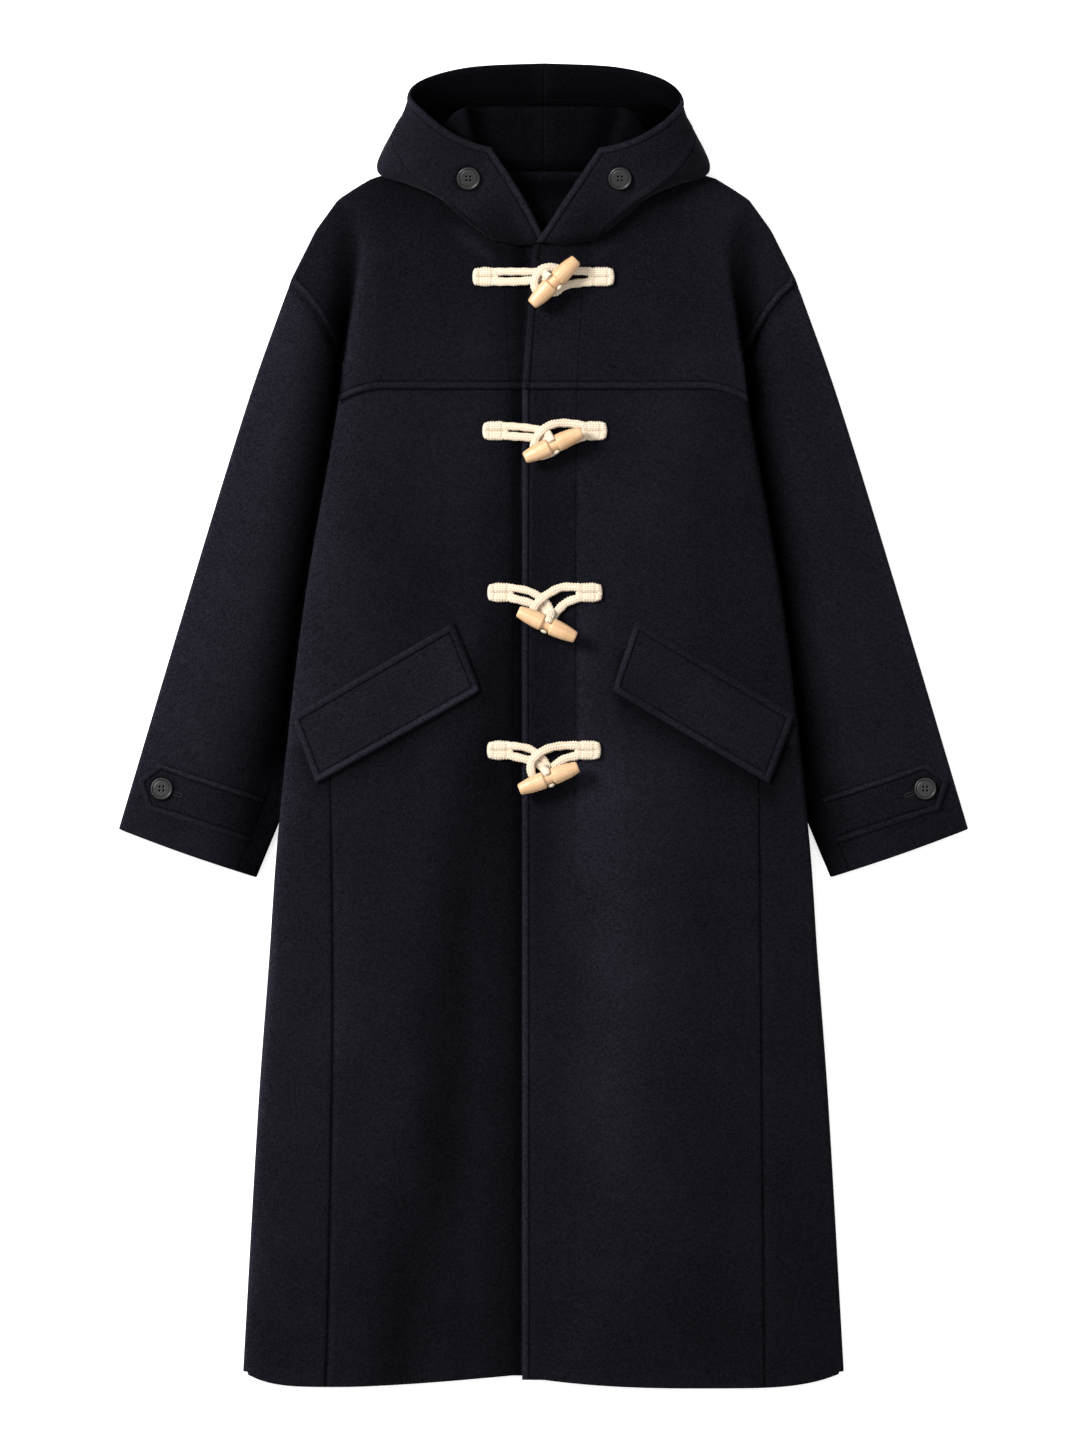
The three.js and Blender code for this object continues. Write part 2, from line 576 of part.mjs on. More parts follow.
// ---- Hood ----
// Sections from the middle of the back (first row) to the throat (last row). Each names the points of
// the cloth's middle surface: rim, band seam, outer fold, tuck (deepest point of the layers folded away
// under the neck), foot and ridge of the stand inside, and the neck edge.
const HOOD = [
  {
    rim: [0, 627.2, 60], seam: [0, 595, 25], fold: [0, 586, 1.3], tuck: [0, 479, 3.2],
    foot: [0, 578, 5], ridge: [0, 587, 41], neck: [0, 517, 10.9],
  },
  {
    rim: [68, 622.5, 61], seam: [64, 594, 26], fold: [60, 586, 1.3], tuck: [48, 484, 3.2],
    foot: [56, 577, 5], ridge: [56, 587, 42], neck: [44, 517, 10.9],
  },
  {
    rim: [112, 611, 62], seam: [110, 590, 29], fold: [102, 582, 1.3], tuck: [58, 508, 3.1],
    foot: [78, 570, 5], ridge: [80, 584, 42], neck: [72, 520, 12.5],
  },
  {
    rim: [131, 590, 62], seam: [142, 572, 36], fold: [138, 562, 3], tuck: [104, 552, 4.5],
    foot: [102, 556, 8], ridge: [95, 566, 33], neck: [90, 527, 18.1],
  },
  {
    rim: [120, 574, 60], seam: [143, 556, 38], fold: [152, 546, 11.5], tuck: [124, 545, 12],
    foot: [114, 546, 15], ridge: [103, 546, 22], neck: [90, 519, 18.1],
  },
  {
    rim: [98, 559, 54], seam: [130, 531, 36], fold: [157, 525, 14.7], tuck: [130, 522, 12.8],
    foot: [115, 520, 14.8], ridge: [102, 517, 17], neck: [88, 508, 18.2],
  },
  {
    rim: [74, 552, 46], seam: [107, 512, 30], fold: [134, 511, 15], tuck: [116, 507, 13.9],
    foot: [104, 503, 15.6], ridge: [94, 500, 17.2], neck: [83, 495, 18.1],
  },
  {
    rim: [56, 547, 39], seam: [86, 503, 25], fold: [110, 501, 16], tuck: [98, 496, 15.1],
    foot: [90, 491, 16.2], ridge: [83, 487, 17.2], neck: [74, 481, 17.8],
  },
  {
    rim: [27, 505, 31], seam: [67, 488, 23.5], fold: [86, 487, 17.2], tuck: [76, 481, 15.4],
    foot: [70, 477, 15.8], ridge: [62, 472.5, 16], neck: [54, 467, 16.2],
  },
  {
    rim: [-2, 463, 22], seam: [50, 463, 21.5], fold: [68, 474, 17], tuck: [59, 468, 14.9],
    foot: [51, 464, 15], ridge: [42, 462.5, 15], neck: [33, 462, 15],
  },
];
const PARTS = ["rim", "seam", "fold", "tuck", "foot", "ridge", "neck"];
const HOOD_STEPS = 2; // steps between neighbouring sections
const FOLD_LIFT = 1.7; // the outer fold stands this much over the layer below it, on the shoulders
const HOOD_ROUND = 1.5; // the hood's side is rounded outwards by this much
const BAND_ROUND = 2.5; // the band is rounded outwards by this much
const TURN_ROOM = 8; // length over which two folded layers close up at a fold
const UNDER_SECTIONS = 5; // sections of the hood that go on under its outer fold to the neck
const THROAT_CLEAR = 5.5; // the right half of the hood stops this far from the middle at the throat
const HOOD_BUTTON = { section: 7.05, t: 0.62, across: 21.8, clear: 1.05 };
const hoodRow = (s) => {
  const row = Object.fromEntries(PARTS.map((q) => [q, spline(HOOD.map((r) => V(...r[q])), s)]));
  row.low = row.fold.z - FOLD_LIFT * smooth((s - 3) / 2);
  return row;
};
// The point on the way from a fold towards the next point, at that point's height.
function besideFold(fold, towards) {
  const long = fold.distanceTo(towards);
  const p = fold.clone().lerp(towards, Math.min(TURN_ROOM / long, 0.4));
  p.z = towards.z;
  return p;
}
// No half of the hood passes the middle of the back or, on the right, the throat.
function hoodSections(side) {
  const n = (HOOD.length - 1) * HOOD_STEPS;
  return range(n, 0, HOOD.length - 1).map((s) => {
    const row = hoodRow(s);
    const throat = side < 0 ? THROAT_CLEAR : -THROAT_CLEAR;
    const least = s === 0 ? GAP / 2 : throat;
    for (const q of PARTS) row[q].x = side * Math.max(row[q].x, least);
    return row;
  });
}
// A point of the band's middle surface, t of the way from the rim to the band seam.
function bandPoint(row, t) {
  const p = row.rim.clone().lerp(row.seam, t);
  p.z += BAND_ROUND * Math.sin(Math.PI * t);
  return p;
}
function hoodBand(side) {
  return shell(hoodSections(side).map((row) => [0, 0.33, 0.66, 0.99].map((t) => bandPoint(row, t))));
}
// The hood's button sits square on the band, near the collar's corner.
function hoodButton(side) {
  const { section, t, across: wide, clear } = HOOD_BUTTON;
  const place = (s, share) => bandPoint(hoodRow(s), share).multiply(V(side, 1, 1));
  const seat = place(section, t);
  const ds = place(section + 0.2, t).sub(place(section - 0.2, t));
  const dt = place(section, t + 0.1).sub(place(section, t - 0.1));
  const normal = ds.cross(dt).normalize();
  if (normal.z < 0) normal.negate();
  return button(seat.addScaledVector(normal, CLOTH / 2 + clear), normal, wide);
}
function hoodSide(side) {
  const grid = hoodSections(side).map((r) => {
    const start = r.seam.clone().lerp(r.fold, 0.02);
    const half = start.clone().lerp(r.fold, 0.5);
    half.z += HOOD_ROUND;
    const low = besideFold(r.tuck, r.fold.clone().setZ(r.low));
    const high = besideFold(r.tuck, r.foot);
    const stand = r.ridge.clone().lerp(r.neck, 0.5);
    return [start, half, r.fold, low, r.tuck, high, r.foot, r.ridge, stand, r.neck];
  });
  // In front of the shoulders the hood ends at its outer fold, on the yoke.
  const toFold = 2;
  return shell(grid, CLOTH, (i, j) => j < toFold || i < UNDER_SECTIONS * HOOD_STEPS);
}

// ---- Buttons ----
// A turned button: radius as a share of the whole, and height over its seat.
const BUTTON = [[0, 0], [0.72, 0], [1, 1.1], [1, 2.6], [0.9, 3.3], [0.74, 3.1], [0.66, 2.3], [0, 2.3]];
const BUTTON_HOLE = { radius: 1, spread: 2.1 }; // four holes, each this far off both middle lines
const CUFF_BUTTON = { x: 362, y: -59, across: 20.5 };
function button(seat, normal, wide) {
  const disc = new THREE.LatheGeometry(BUTTON.map(([r, z]) => new THREE.Vector2((r * wide) / 2, z)), 18);
  disc.rotateX(Math.PI / 2);
  const { radius, spread } = BUTTON_HOLE;
  const hole = new THREE.CylinderGeometry(radius, radius, 6, 6);
  hole.rotateX(Math.PI / 2);
  const corners = [[-1, -1], [1, -1], [1, 1], [-1, 1]];
  const holes = corners.map(([i, j]) => solid(hole.clone().translate(i * spread, j * spread, 1.5)));
  const out = fromSolid(solid(disc).subtract(wasm.Manifold.union(holes)));
  out.applyQuaternion(new THREE.Quaternion().setFromUnitVectors(V(0, 0, 1), normal));
  out.translate(seat.x, seat.y, seat.z);
  return out;
}

// Geometry to manifold and back.
function solid(geometry) {
  const bare = new THREE.BufferGeometry();
  bare.setAttribute("position", geometry.getAttribute("position").clone());
  bare.setIndex(geometry.getIndex() ?? [...Array(geometry.getAttribute("position").count).keys()]);
  const merged = mergeVertices(bare, 1e-4);
  const mesh = new wasm.Mesh({
    numProp: 3,
    vertProperties: merged.getAttribute("position").array,
    triVerts: Uint32Array.from(merged.getIndex().array),
  });
  mesh.merge();
  return new wasm.Manifold(mesh);
}
function fromSolid(manifold) {
  const mesh = manifold.getMesh();
  const geometry = new THREE.BufferGeometry();
  geometry.setAttribute("position", new THREE.BufferAttribute(Float32Array.from(mesh.vertProperties), 3));
  geometry.setIndex([...mesh.triVerts]);
  return geometry;
}

// ---- Toggles and their cords ----
const TOGGLE = { long: 60, mid: 7.7, end: 5, groove: 5.4, grooveWide: 8.6 };
const CORD = { wide: 7.4, high: 3.6 };
const PAD = { wide: 25, tall: 18, high: 3.4 };
const AXIS_HIGH = 15.2; // toggle's axis over the cloth
const MEET = { out: 6.3, down: 4.4 }; // where the strands meet, beside and below the toggle's axis
const CORD_CLEAR = 0.9; // the fastenings lie this far over the highest cloth below them
const STRAND = 4.8; // the two strands of a cord lie this far to each side of its pad's middle
const INTO_PAD = 4; // a strand starts this far inside its pad
// Each row: a toggle's centre and the way its axis points, the middles of the two sewn pads, and the
// cords' paths as x, y and the layer they lie in, counted up from the cloth.
const FASTENINGS = [
  {
    x: 9.3, y: 423.1, ex: 21.2, ey: 21.3, toggleX: -54.6, loopX: 54.7, padY: 426.4,
    high: [[-26, 431.2, 1], [-10, 431, 1], [-1, 430.4, 1.05]],
    low: [[-26, 421.8, 1], [-10, 423.2, 1], [-1.5, 425.8, 1.05]],
    loop: [
      [24, 434.5, 1.1], [3, 438.6, 1.7], [-6, 431, 2], [-9, 420, 2],
      [-5, 411.5, 1.8], [11, 412.5, 1.1], [22.3, 420, 1],
    ],
  },
  {
    x: 9.4, y: 266.5, ex: 26.7, ey: 12, toggleX: -45.2, loopX: 47.8, padY: 280.3,
    high: [[-18, 283.5, 1], [-5.7, 281.6, 1], [2.5, 278.5, 1.2]],
    low: [[-20, 274.5, 1], [-9, 273.6, 1], [-1, 273.4, 1.1]],
    loop: [
      [20, 288.5, 1], [7, 286.6, 1.6], [-2, 281, 2], [-7.5, 272, 2],
      [-9, 263, 2], [-4, 257, 1.6], [6, 259, 1], [20, 268, 1],
    ],
  },
  {
    x: 3.3, y: 96.7, ex: 25.5, ey: -11.7, toggleX: -40.5, loopX: 43.3, padY: 127,
    high: [[-16.2, 129, 1], [-5.2, 123.8, 1], [2.7, 117, 1], [6.8, 110, 1.3]],
    low: [[-14, 117.4, 1], [-4, 113, 1], [3, 108.5, 1.2]],
    loop: [
      [18.4, 132, 1.1], [6.7, 126.9, 1.7], [-3, 120, 2], [-9, 112, 2], [-10.5, 104, 2],
      [-6, 96.5, 1.7], [4, 98, 1], [12.5, 108.5, 1], [22, 117.5, 1],
    ],
  },
  {
    x: 4.9, y: -49.1, ex: 26.5, ey: 10.3, toggleX: -40.9, loopX: 41.9, padY: -22.6,
    high: [[-16.2, -20.3, 1], [-6.7, -25.1, 1], [0.3, -31.4, 1], [3.4, -37.5, 1.3]],
    low: [[-14, -32, 1], [-5, -36, 1], [0, -39.5, 1.2]],
    loop: [
      [18.4, -18.3, 1.1], [6.7, -20.3, 1.7], [-3.6, -25.1, 2], [-10.5, -32, 2], [-12, -40, 2],
      [-9.5, -48, 1.9], [-2, -52, 1.2], [5, -45, 1], [12, -36, 1], [21, -30.5, 1],
    ],
  },
];
function toggle(f, top) {
  const { long, mid: m, end, groove, grooveWide } = TOGGLE;
  const h = long / 2;
  const g = grooveWide / 2;
  const half = [
    [0, h], [end - 1.2, h], [end, h - 1.2], [m - 1.1, h * 0.62],
    [m, h * 0.34], [m, g + 1.2], [groove, g], [groove, 0],
  ];
  const profile = [...half.map(([r, y]) => [r, -y]), ...half.slice(0, -1).reverse()];
  const points = profile.map(([r, y]) => new THREE.Vector2(r, y));
  const body = new THREE.LatheGeometry(points, 12);
  body.rotateZ(Math.atan2(f.ey, f.ex) - Math.PI / 2);
  body.translate(f.x, f.y, top + AXIS_HIGH);
  return body;
}
// A cord of flattened round section along a path of points.
function cord(points, steps, wide = CORD.wide, high = CORD.high) {
  const rings = range(steps, 0, points.length - 1).map((t) => {
    const p = spline(points, t);
    const d = spline(points, t + 0.01).sub(spline(points, t - 0.01));
    const flat = V(-d.y, d.x, 0).normalize();
    const up = d.clone().cross(flat).normalize().negate();
    return range(8).slice(0, -1).map((a) =>
      p.clone()
        .addScaledVector(flat, (wide / 2) * Math.cos(2 * Math.PI * a))
        .addScaledVector(up, (high / 2) * Math.sin(2 * Math.PI * a)));
  });
  const n = rings[0].length;
  const all = rings.flat();
  const triangles = [];
  for (let i = 0; i < rings.length - 1; i++)
    for (let j = 0; j < n; j++) {
      const [a, b] = [i * n + j, i * n + ((j + 1) % n)];
      triangles.push(a, b, b + n, a, b + n, a + n);
    }
  for (let j = 1; j < n - 1; j++) {
    triangles.push(0, j + 1, j);
    const e = (rings.length - 1) * n;
    triangles.push(e, e + j, e + j + 1);
  }
  return solid(closed(all, triangles));
}
function pad(x, y, z) {
  const box = new THREE.BoxGeometry(PAD.wide, PAD.tall, PAD.high);
  box.translate(x, y, z + PAD.high / 2);
  return solid(box);
}
// Height of the cloth that the fastenings lie on.
function clothTop(x, y) {
  const side = x > FRONT_EDGE - 5 ? 1 : -1;
  const topAt = y > YOKE_EDGE - 8 ? yokeTopZ : frontTop;
  return topAt(side, Math.abs(x), y);
}
const level = (n) => GAP * n + CORD.high * (n - 0.5);
const path = (points, top) => points.map(([x, y, n]) => V(x, y, top + level(n)));
// The cord that holds a toggle: a sewn pad, two strands under the loop, and a turn round the groove.
function toggleCord(f, top) {
  const out = MEET.out / Math.hypot(f.ex, f.ey);
  const meet = V(f.x - out * f.ey, f.y + out * f.ex, top + AXIS_HIGH - MEET.down);
  const start = f.toggleX + PAD.wide / 2 - INTO_PAD;
  const strand = (via, y) => cord([...path([[start, y, 1], ...via], top), meet], 8);
  const strands = [strand(f.high, f.padY + STRAND), strand(f.low, f.padY - STRAND)];
  const r = TOGGLE.groove + 0.3 + CORD.high / 2;
  const section = range(8).map((t) => {
    const a = 2 * Math.PI * t;
    return new THREE.Vector2(r + (CORD.high / 2) * Math.cos(a), (CORD.wide / 2) * Math.sin(a));
  });
  const turn = new THREE.LatheGeometry(section, 12);
  turn.rotateZ(Math.atan2(f.ey, f.ex) - Math.PI / 2);
  turn.translate(f.x, f.y, top + AXIS_HIGH);
  return fromSolid(wasm.Manifold.union([pad(f.toggleX, f.padY, top + GAP), ...strands, solid(turn)]));
}
// The cord loop that catches the toggle: a sewn pad and one cord out round the toggle and back.
function loopCord(f, top) {
  const start = f.loopX - PAD.wide / 2 + INTO_PAD;
  const ends = [[start, f.padY + STRAND, 1], [start, f.padY - STRAND, 1]];
  const run = cord(path([ends[0], ...f.loop, ends[1]], top), 18);
  return fromSolid(wasm.Manifold.union([pad(f.loopX, f.padY, top + GAP), run]));
}

// ---- Assembly ----
const SURFACE = {
  wool: { color: 0x1b1a20, roughness: 0.95 },
  wood: { color: 0xe6cfae, roughness: 0.5 },
  cotton: { color: 0xe9dcc4, roughness: 0.9 },
  button: { color: 0x3a3a3c, roughness: 0.45 },
};
const coat = new THREE.Group();
coat.name = "hooded_duffle_coat";
function add(name, geometry, kind) {
  const bare = new THREE.BufferGeometry();
  bare.setAttribute("position", geometry.getAttribute("position"));
  bare.setIndex(geometry.getIndex());
  const merged = mergeVertices(bare, 1e-4);
  merged.computeVertexNormals();
  const material = new THREE.MeshStandardMaterial({ ...SURFACE[kind], metalness: 0, name: kind });
  const mesh = new THREE.Mesh(merged, material);
  mesh.name = name;
  coat.add(mesh);
}
add("back", back(), "wool");
const cuffTop = SLEEVE_HIGH + DOUBLE + 2 * GAP;
for (const side of [1, -1]) {
  const name = nameOf(side);
  add(`front_${name}`, front(side), "wool");
  add(`side_panel_${name}`, sidePanel(side), "wool");
  add(`yoke_${name}`, yoke(side), "wool");
  add(`sleeve_top_${name}`, sleeve(side, "top"), "wool");
  add(`sleeve_under_${name}`, sleeve(side, "under"), "wool");
  add(`cuff_strap_${name}`, cuffStrap(side), "wool");
  add(`pocket_flap_${name}`, pocketFlap(side), "wool");
  add(`hood_side_${name}`, hoodSide(side), "wool");
  add(`hood_band_${name}`, hoodBand(side), "wool");
  const cuffSeat = V(side * CUFF_BUTTON.x, CUFF_BUTTON.y, cuffTop);
  add(`cuff_button_${name}`, button(cuffSeat, V(0, 0, 1), CUFF_BUTTON.across), "button");
  add(`hood_button_${name}`, hoodButton(side), "button");
}
FASTENINGS.forEach((f, i) => {
  const spots = range(8, f.toggleX - PAD.wide / 2, f.loopX + PAD.wide / 2);
  const heights = spots.flatMap((x) => [-12, 0, 12].map((dy) => clothTop(x, f.padY + dy)));
  const top = Math.max(...heights) + CORD_CLEAR - GAP;
  add(`toggle_${i + 1}`, toggle(f, top), "wood");
  add(`toggle_cord_${i + 1}`, toggleCord(f, top), "cotton");
  add(`loop_cord_${i + 1}`, loopCord(f, top), "cotton");
});

export default coat;
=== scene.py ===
# %% [markdown]
# # A hooded duffle coat, laid flat
#
# The coat is long, made of heavy felted wool, and closed with four wooden toggles on cotton cords.
# It lies on its back on a pale floor. Its sleeves are tucked under the body, and its hood is folded
# open behind the neck. The CAD model fixes where everything is. Here each cut piece gets its cloth:
# rounded edges, sewn edges that stand up a little, soft folds, nap, stitches, grain and braid.
# Lengths are worked out in millimetres, as a pattern cutter would, and become metres in the mesh.

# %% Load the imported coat
import math

import bpy
import numpy as np
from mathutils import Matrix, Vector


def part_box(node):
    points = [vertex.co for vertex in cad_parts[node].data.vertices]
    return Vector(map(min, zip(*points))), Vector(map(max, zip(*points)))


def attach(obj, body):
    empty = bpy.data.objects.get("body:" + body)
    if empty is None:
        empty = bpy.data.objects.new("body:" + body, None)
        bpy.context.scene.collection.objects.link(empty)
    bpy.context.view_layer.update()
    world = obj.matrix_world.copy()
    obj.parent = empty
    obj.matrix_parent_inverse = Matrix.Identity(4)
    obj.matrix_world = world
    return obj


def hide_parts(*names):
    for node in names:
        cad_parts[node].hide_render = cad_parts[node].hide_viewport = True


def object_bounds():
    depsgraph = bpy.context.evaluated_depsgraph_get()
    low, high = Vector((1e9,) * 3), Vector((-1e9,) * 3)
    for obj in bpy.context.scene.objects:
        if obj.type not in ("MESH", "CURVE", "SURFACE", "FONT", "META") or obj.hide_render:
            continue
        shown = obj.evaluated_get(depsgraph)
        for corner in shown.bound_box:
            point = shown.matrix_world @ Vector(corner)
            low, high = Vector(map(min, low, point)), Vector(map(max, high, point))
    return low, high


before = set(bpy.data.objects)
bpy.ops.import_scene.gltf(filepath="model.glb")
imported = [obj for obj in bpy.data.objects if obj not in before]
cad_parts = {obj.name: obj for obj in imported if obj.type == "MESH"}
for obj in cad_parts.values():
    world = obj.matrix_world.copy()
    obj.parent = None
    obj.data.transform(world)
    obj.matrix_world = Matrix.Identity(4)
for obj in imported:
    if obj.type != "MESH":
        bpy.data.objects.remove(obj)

MM = 0.001  # metres in a millimetre
CAD_BOX = [list(corner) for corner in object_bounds()]
print("nodes:", len(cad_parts), " CAD box in metres:", CAD_BOX)

# %% [markdown]
# ## Floor, light and camera
#
# A coat laid out for a catalogue is seen from straight above, through a long lens, so that the hem
# and the hood keep their proportions. The camera looks down the Z axis. The light is one large soft
# lamp on the side of the wearer's right shoulder, with a bright sky round it: dark wool only shows
# its shape where a soft light slides over its edges. The floor is matt and nearly white.

# %% Camera straight above
middle = [(a + b) / 2 for a, b in zip(*CAD_BOX)]
CAMERA_HIGH = 12.0  # metres over the floor
FRAME_TALL = 1.3742  # metres of floor from the top to the bottom of the frame
SENSOR_TALL = 0.024

camera_data = bpy.data.cameras.new("camera")
camera_data.sensor_fit = "VERTICAL"
camera_data.sensor_height = SENSOR_TALL / MM
camera_data.lens = SENSOR_TALL / MM * CAMERA_HIGH / FRAME_TALL
camera_data.clip_end = 60
camera = bpy.data.objects.new("camera", camera_data)
camera.location = (middle[0] - 0.0004, middle[1] + 0.0023, CAMERA_HIGH)
bpy.context.scene.collection.objects.link(camera)
bpy.context.scene.camera = camera
print("lens in mm:", round(camera_data.lens, 1))

# %% Soft studio light
LAMP_PLACE = np.array([-3.0, 1.9, 3.1])  # metres
lamp_data = bpy.data.lights.new("soft_lamp", "AREA")
lamp_data.shape = "DISK"
lamp_data.size = 1.7
lamp_data.energy = 330
lamp = bpy.data.objects.new("soft_lamp", lamp_data)
lamp.location = LAMP_PLACE
reach = np.linalg.norm(LAMP_PLACE)
lamp.rotation_euler = (math.acos(LAMP_PLACE[2] / reach), 0, math.atan2(LAMP_PLACE[0], -LAMP_PLACE[1]))
bpy.context.scene.collection.objects.link(lamp)
world = bpy.data.worlds.new("studio")
world.use_nodes = True
world.node_tree.nodes["Background"].inputs["Color"].default_value = (1, 1, 1, 1)
world.node_tree.nodes["Background"].inputs["Strength"].default_value = 0.75
bpy.context.scene.world = world
bpy.context.scene.view_settings.view_transform = "Standard"
print("lamp at", LAMP_PLACE, "facing", [round(a, 2) for a in lamp.rotation_euler])

# %% [markdown]
# ## Helpers: curves, grids and cloth
#
# Every piece of cloth here is a surface worked out on a grid: rows run one way over the piece and
# columns the other. A shell is that surface with the cloth's thickness, closed all round. Real
# felted wool has no sharp cut corner, so the shell thins to nothing over its last millimetre, which
# leaves a rounded edge. Grids are close where an edge is sewn and wide where the cloth is plain.

# %% Curves and mixing
def mix(a, b, t):
    """The point t of the way from a to b."""
    return a + (b - a) * t


def ease(t):
    """0 below 0, 1 above 1, and three t squared less two t cubed between."""
    t = np.clip(t, 0, 1)
    return t * t * (3 - 2 * t)


def bell(d, wide):
    """1 at 0, falling as e to the minus square of d over wide."""
    return np.exp(-((d / wide) ** 2))


def through(rows):
    """A smooth curve through (key, value) rows: cubic Hermite steps, with the slope at each row
    taken from its two neighbours."""
    key, value = np.array(rows, float).T
    at = np.arange(len(key))
    before, after = np.maximum(at - 1, 0), np.minimum(at + 1, len(key) - 1)
    slope = (value[after] - value[before]) / (key[after] - key[before])

    def curve(x):
        x = np.clip(np.asarray(x, float), key[0], key[-1])
        i = np.clip(np.searchsorted(key, x, side="right") - 1, 0, len(key) - 2)
        h = key[i + 1] - key[i]
        t = (x - key[i]) / h
        return ((2 * t**3 - 3 * t**2 + 1) * value[i] + (t**3 - 2 * t**2 + t) * h * slope[i]
                + (3 * t**2 - 2 * t**3) * value[i + 1] + (t**3 - t**2) * h * slope[i + 1])

    return curve


def spline(points, t):
    """A Catmull-Rom curve: it passes points[0], points[1] ... at t = 0, 1 ..., each step a cubic
    whose end slopes are half the way between its neighbours."""
    p = np.asarray(points, float)
    t = np.clip(np.asarray(t, float), 0, len(p) - 1)
    i = np.clip(np.floor(t).astype(int), 0, len(p) - 2)
    s = (t - i)[..., None]
    a, b = p[np.maximum(i - 1, 0)], p[i]
    c, d = p[i + 1], p[np.minimum(i + 2, len(p) - 1)]
    return 0.5 * (2 * b + (c - a) * s + (2 * a - 5 * b + 4 * c - d) * s**2
                  + (3 * b - a - 3 * c + d) * s**3)


def along_line(points, t):
    """The point at share t of the length of a line of straight runs."""
    p = np.asarray(points, float)
    run = np.concatenate([[0], np.cumsum(np.linalg.norm(np.diff(p, axis=0), axis=1))])
    return np.stack([np.interp(np.asarray(t) * run[-1], run, p[:, k]) for k in range(p.shape[1])], -1)


def soften(p, passes, axis=1):
    """Each point moves to a quarter, a half and a quarter of itself and its neighbours, passes times.
    The ends stay."""
    p = np.moveaxis(np.array(p, float), axis, 0)
    for _ in range(passes):
        p[1:-1] = 0.25 * p[:-2] + 0.5 * p[1:-1] + 0.25 * p[2:]
    return np.moveaxis(p, 0, axis)


# %% Where the grid lines go
CUT_EDGE = np.array([0, 0.1, 0.35, 0.8, 1.4, 2.3, 3.6])  # mm in from a plain edge
SEWN_EDGE = np.array([0, 0.1, 0.35, 0.8, 1.4, 2.2, 3.2, 4.4, 5.4, 6.1, 6.7, 7.3, 8, 9, 10.5])
BUTTED_EDGE = np.array([0, 0.5, 1, 1.6, 2.4, 3.6])


def spaced(long, step, first=CUT_EDGE, last=CUT_EDGE):
    """Shares of a length: close steps in from both ends, and even steps of about step between."""
    start, end = first, long - last[::-1]
    count = max(2, round((end[0] - start[-1]) / step))
    return np.concatenate([start, np.linspace(start[-1], end[0], count + 1)[1:-1], end]) / long


print("grid lines over 200 mm, sewn at one edge:", len(spaced(200, 4, SEWN_EDGE)))


# %% Meshes from arrays
def new_piece(name, points, quads, uvs=None, tones=None):
    """A mesh object from points in mm and four-cornered faces. Points that coincide are merged, and
    faces that lose a corner become triangles. uvs becomes the sewing map, in metres, and tones the
    tone map of painted light and shade, in stops."""
    keep = np.unique(quads)
    _, first, back = np.unique(np.round(points[keep], 4), axis=0, return_index=True, return_inverse=True)
    number = np.zeros(len(points), int)
    number[keep] = back.ravel()
    q = number[quads]
    gone = q == np.roll(q, -1, axis=1)
    whole, three = gone.sum(1) == 0, gone.sum(1) == 1
    faces = q[whole].tolist() + q[three][~gone[three]].reshape(-1, 3).tolist()
    mesh = bpy.data.meshes.new(name)
    mesh.from_pydata((points[keep][first] * MM).tolist(), [], faces)
    corner = np.concatenate([quads[whole].ravel(), quads[three][~gone[three]].ravel()])
    if uvs is not None:
        layer = mesh.uv_layers.new(name="sewing")
        layer.data.foreach_set("uv", (uvs[corner] * MM).astype(np.float32).ravel())
    if tones is not None:
        layer = mesh.uv_layers.new(name="tone")
        pairs = np.stack([tones[corner], np.zeros(len(corner))], -1)
        layer.data.foreach_set("uv", pairs.astype(np.float32).ravel())
    mesh.polygons.foreach_set("use_smooth", np.ones(len(mesh.polygons), bool))
    mesh.update()
    piece = bpy.data.objects.new(name, mesh)
    bpy.context.scene.collection.objects.link(piece)
    return piece


def grid_faces(rows, cols, first=0, ring=False):
    """Faces of a grid of points numbered row by row. A ring joins its last column to its first."""
    i = np.arange(rows - 1)[:, None]
    j = np.arange(cols if ring else cols - 1)[None, :]
    k = (j + 1) % cols
    row, next_row = i * cols, (i + 1) * cols
    corners = np.broadcast_arrays(row + j, row + k, next_row + k, next_row + j)
    return np.stack(corners, -1).reshape(-1, 4) + first


def grid_normals(p):
    """Unit cross product of the steps along the columns and along the rows."""
    n = np.cross(np.gradient(p, axis=1), np.gradient(p, axis=0))
    return n / np.maximum(np.linalg.norm(n, axis=-1, keepdims=True), 1e-9)


def lengths_along(p, axis):
    """Length from the first grid line to each point, measured along the surface."""
    step = np.linalg.norm(np.diff(p, axis=axis), axis=-1)
    pad = [(1, 0), (0, 0)] if axis == 0 else [(0, 0), (1, 0)]
    return np.pad(np.cumsum(step, axis=axis), pad)


# %% A closed shell of cloth
CLOTH = 2.4  # mm of felted wool
GAP = 0.3  # mm of air between layers
FAR = 60.0  # mm: further than this, no stitch line matters
WELT = 1.15  # mm that a stitched edge stands up between the edge and its stitches
# A stitched edge that stands up gets a painted highlight of this many stops; a dip gets painted shade.
RAISED_HIGHLIGHT = 0.42  # stops that a stitched edge is lighter than the cloth beside it


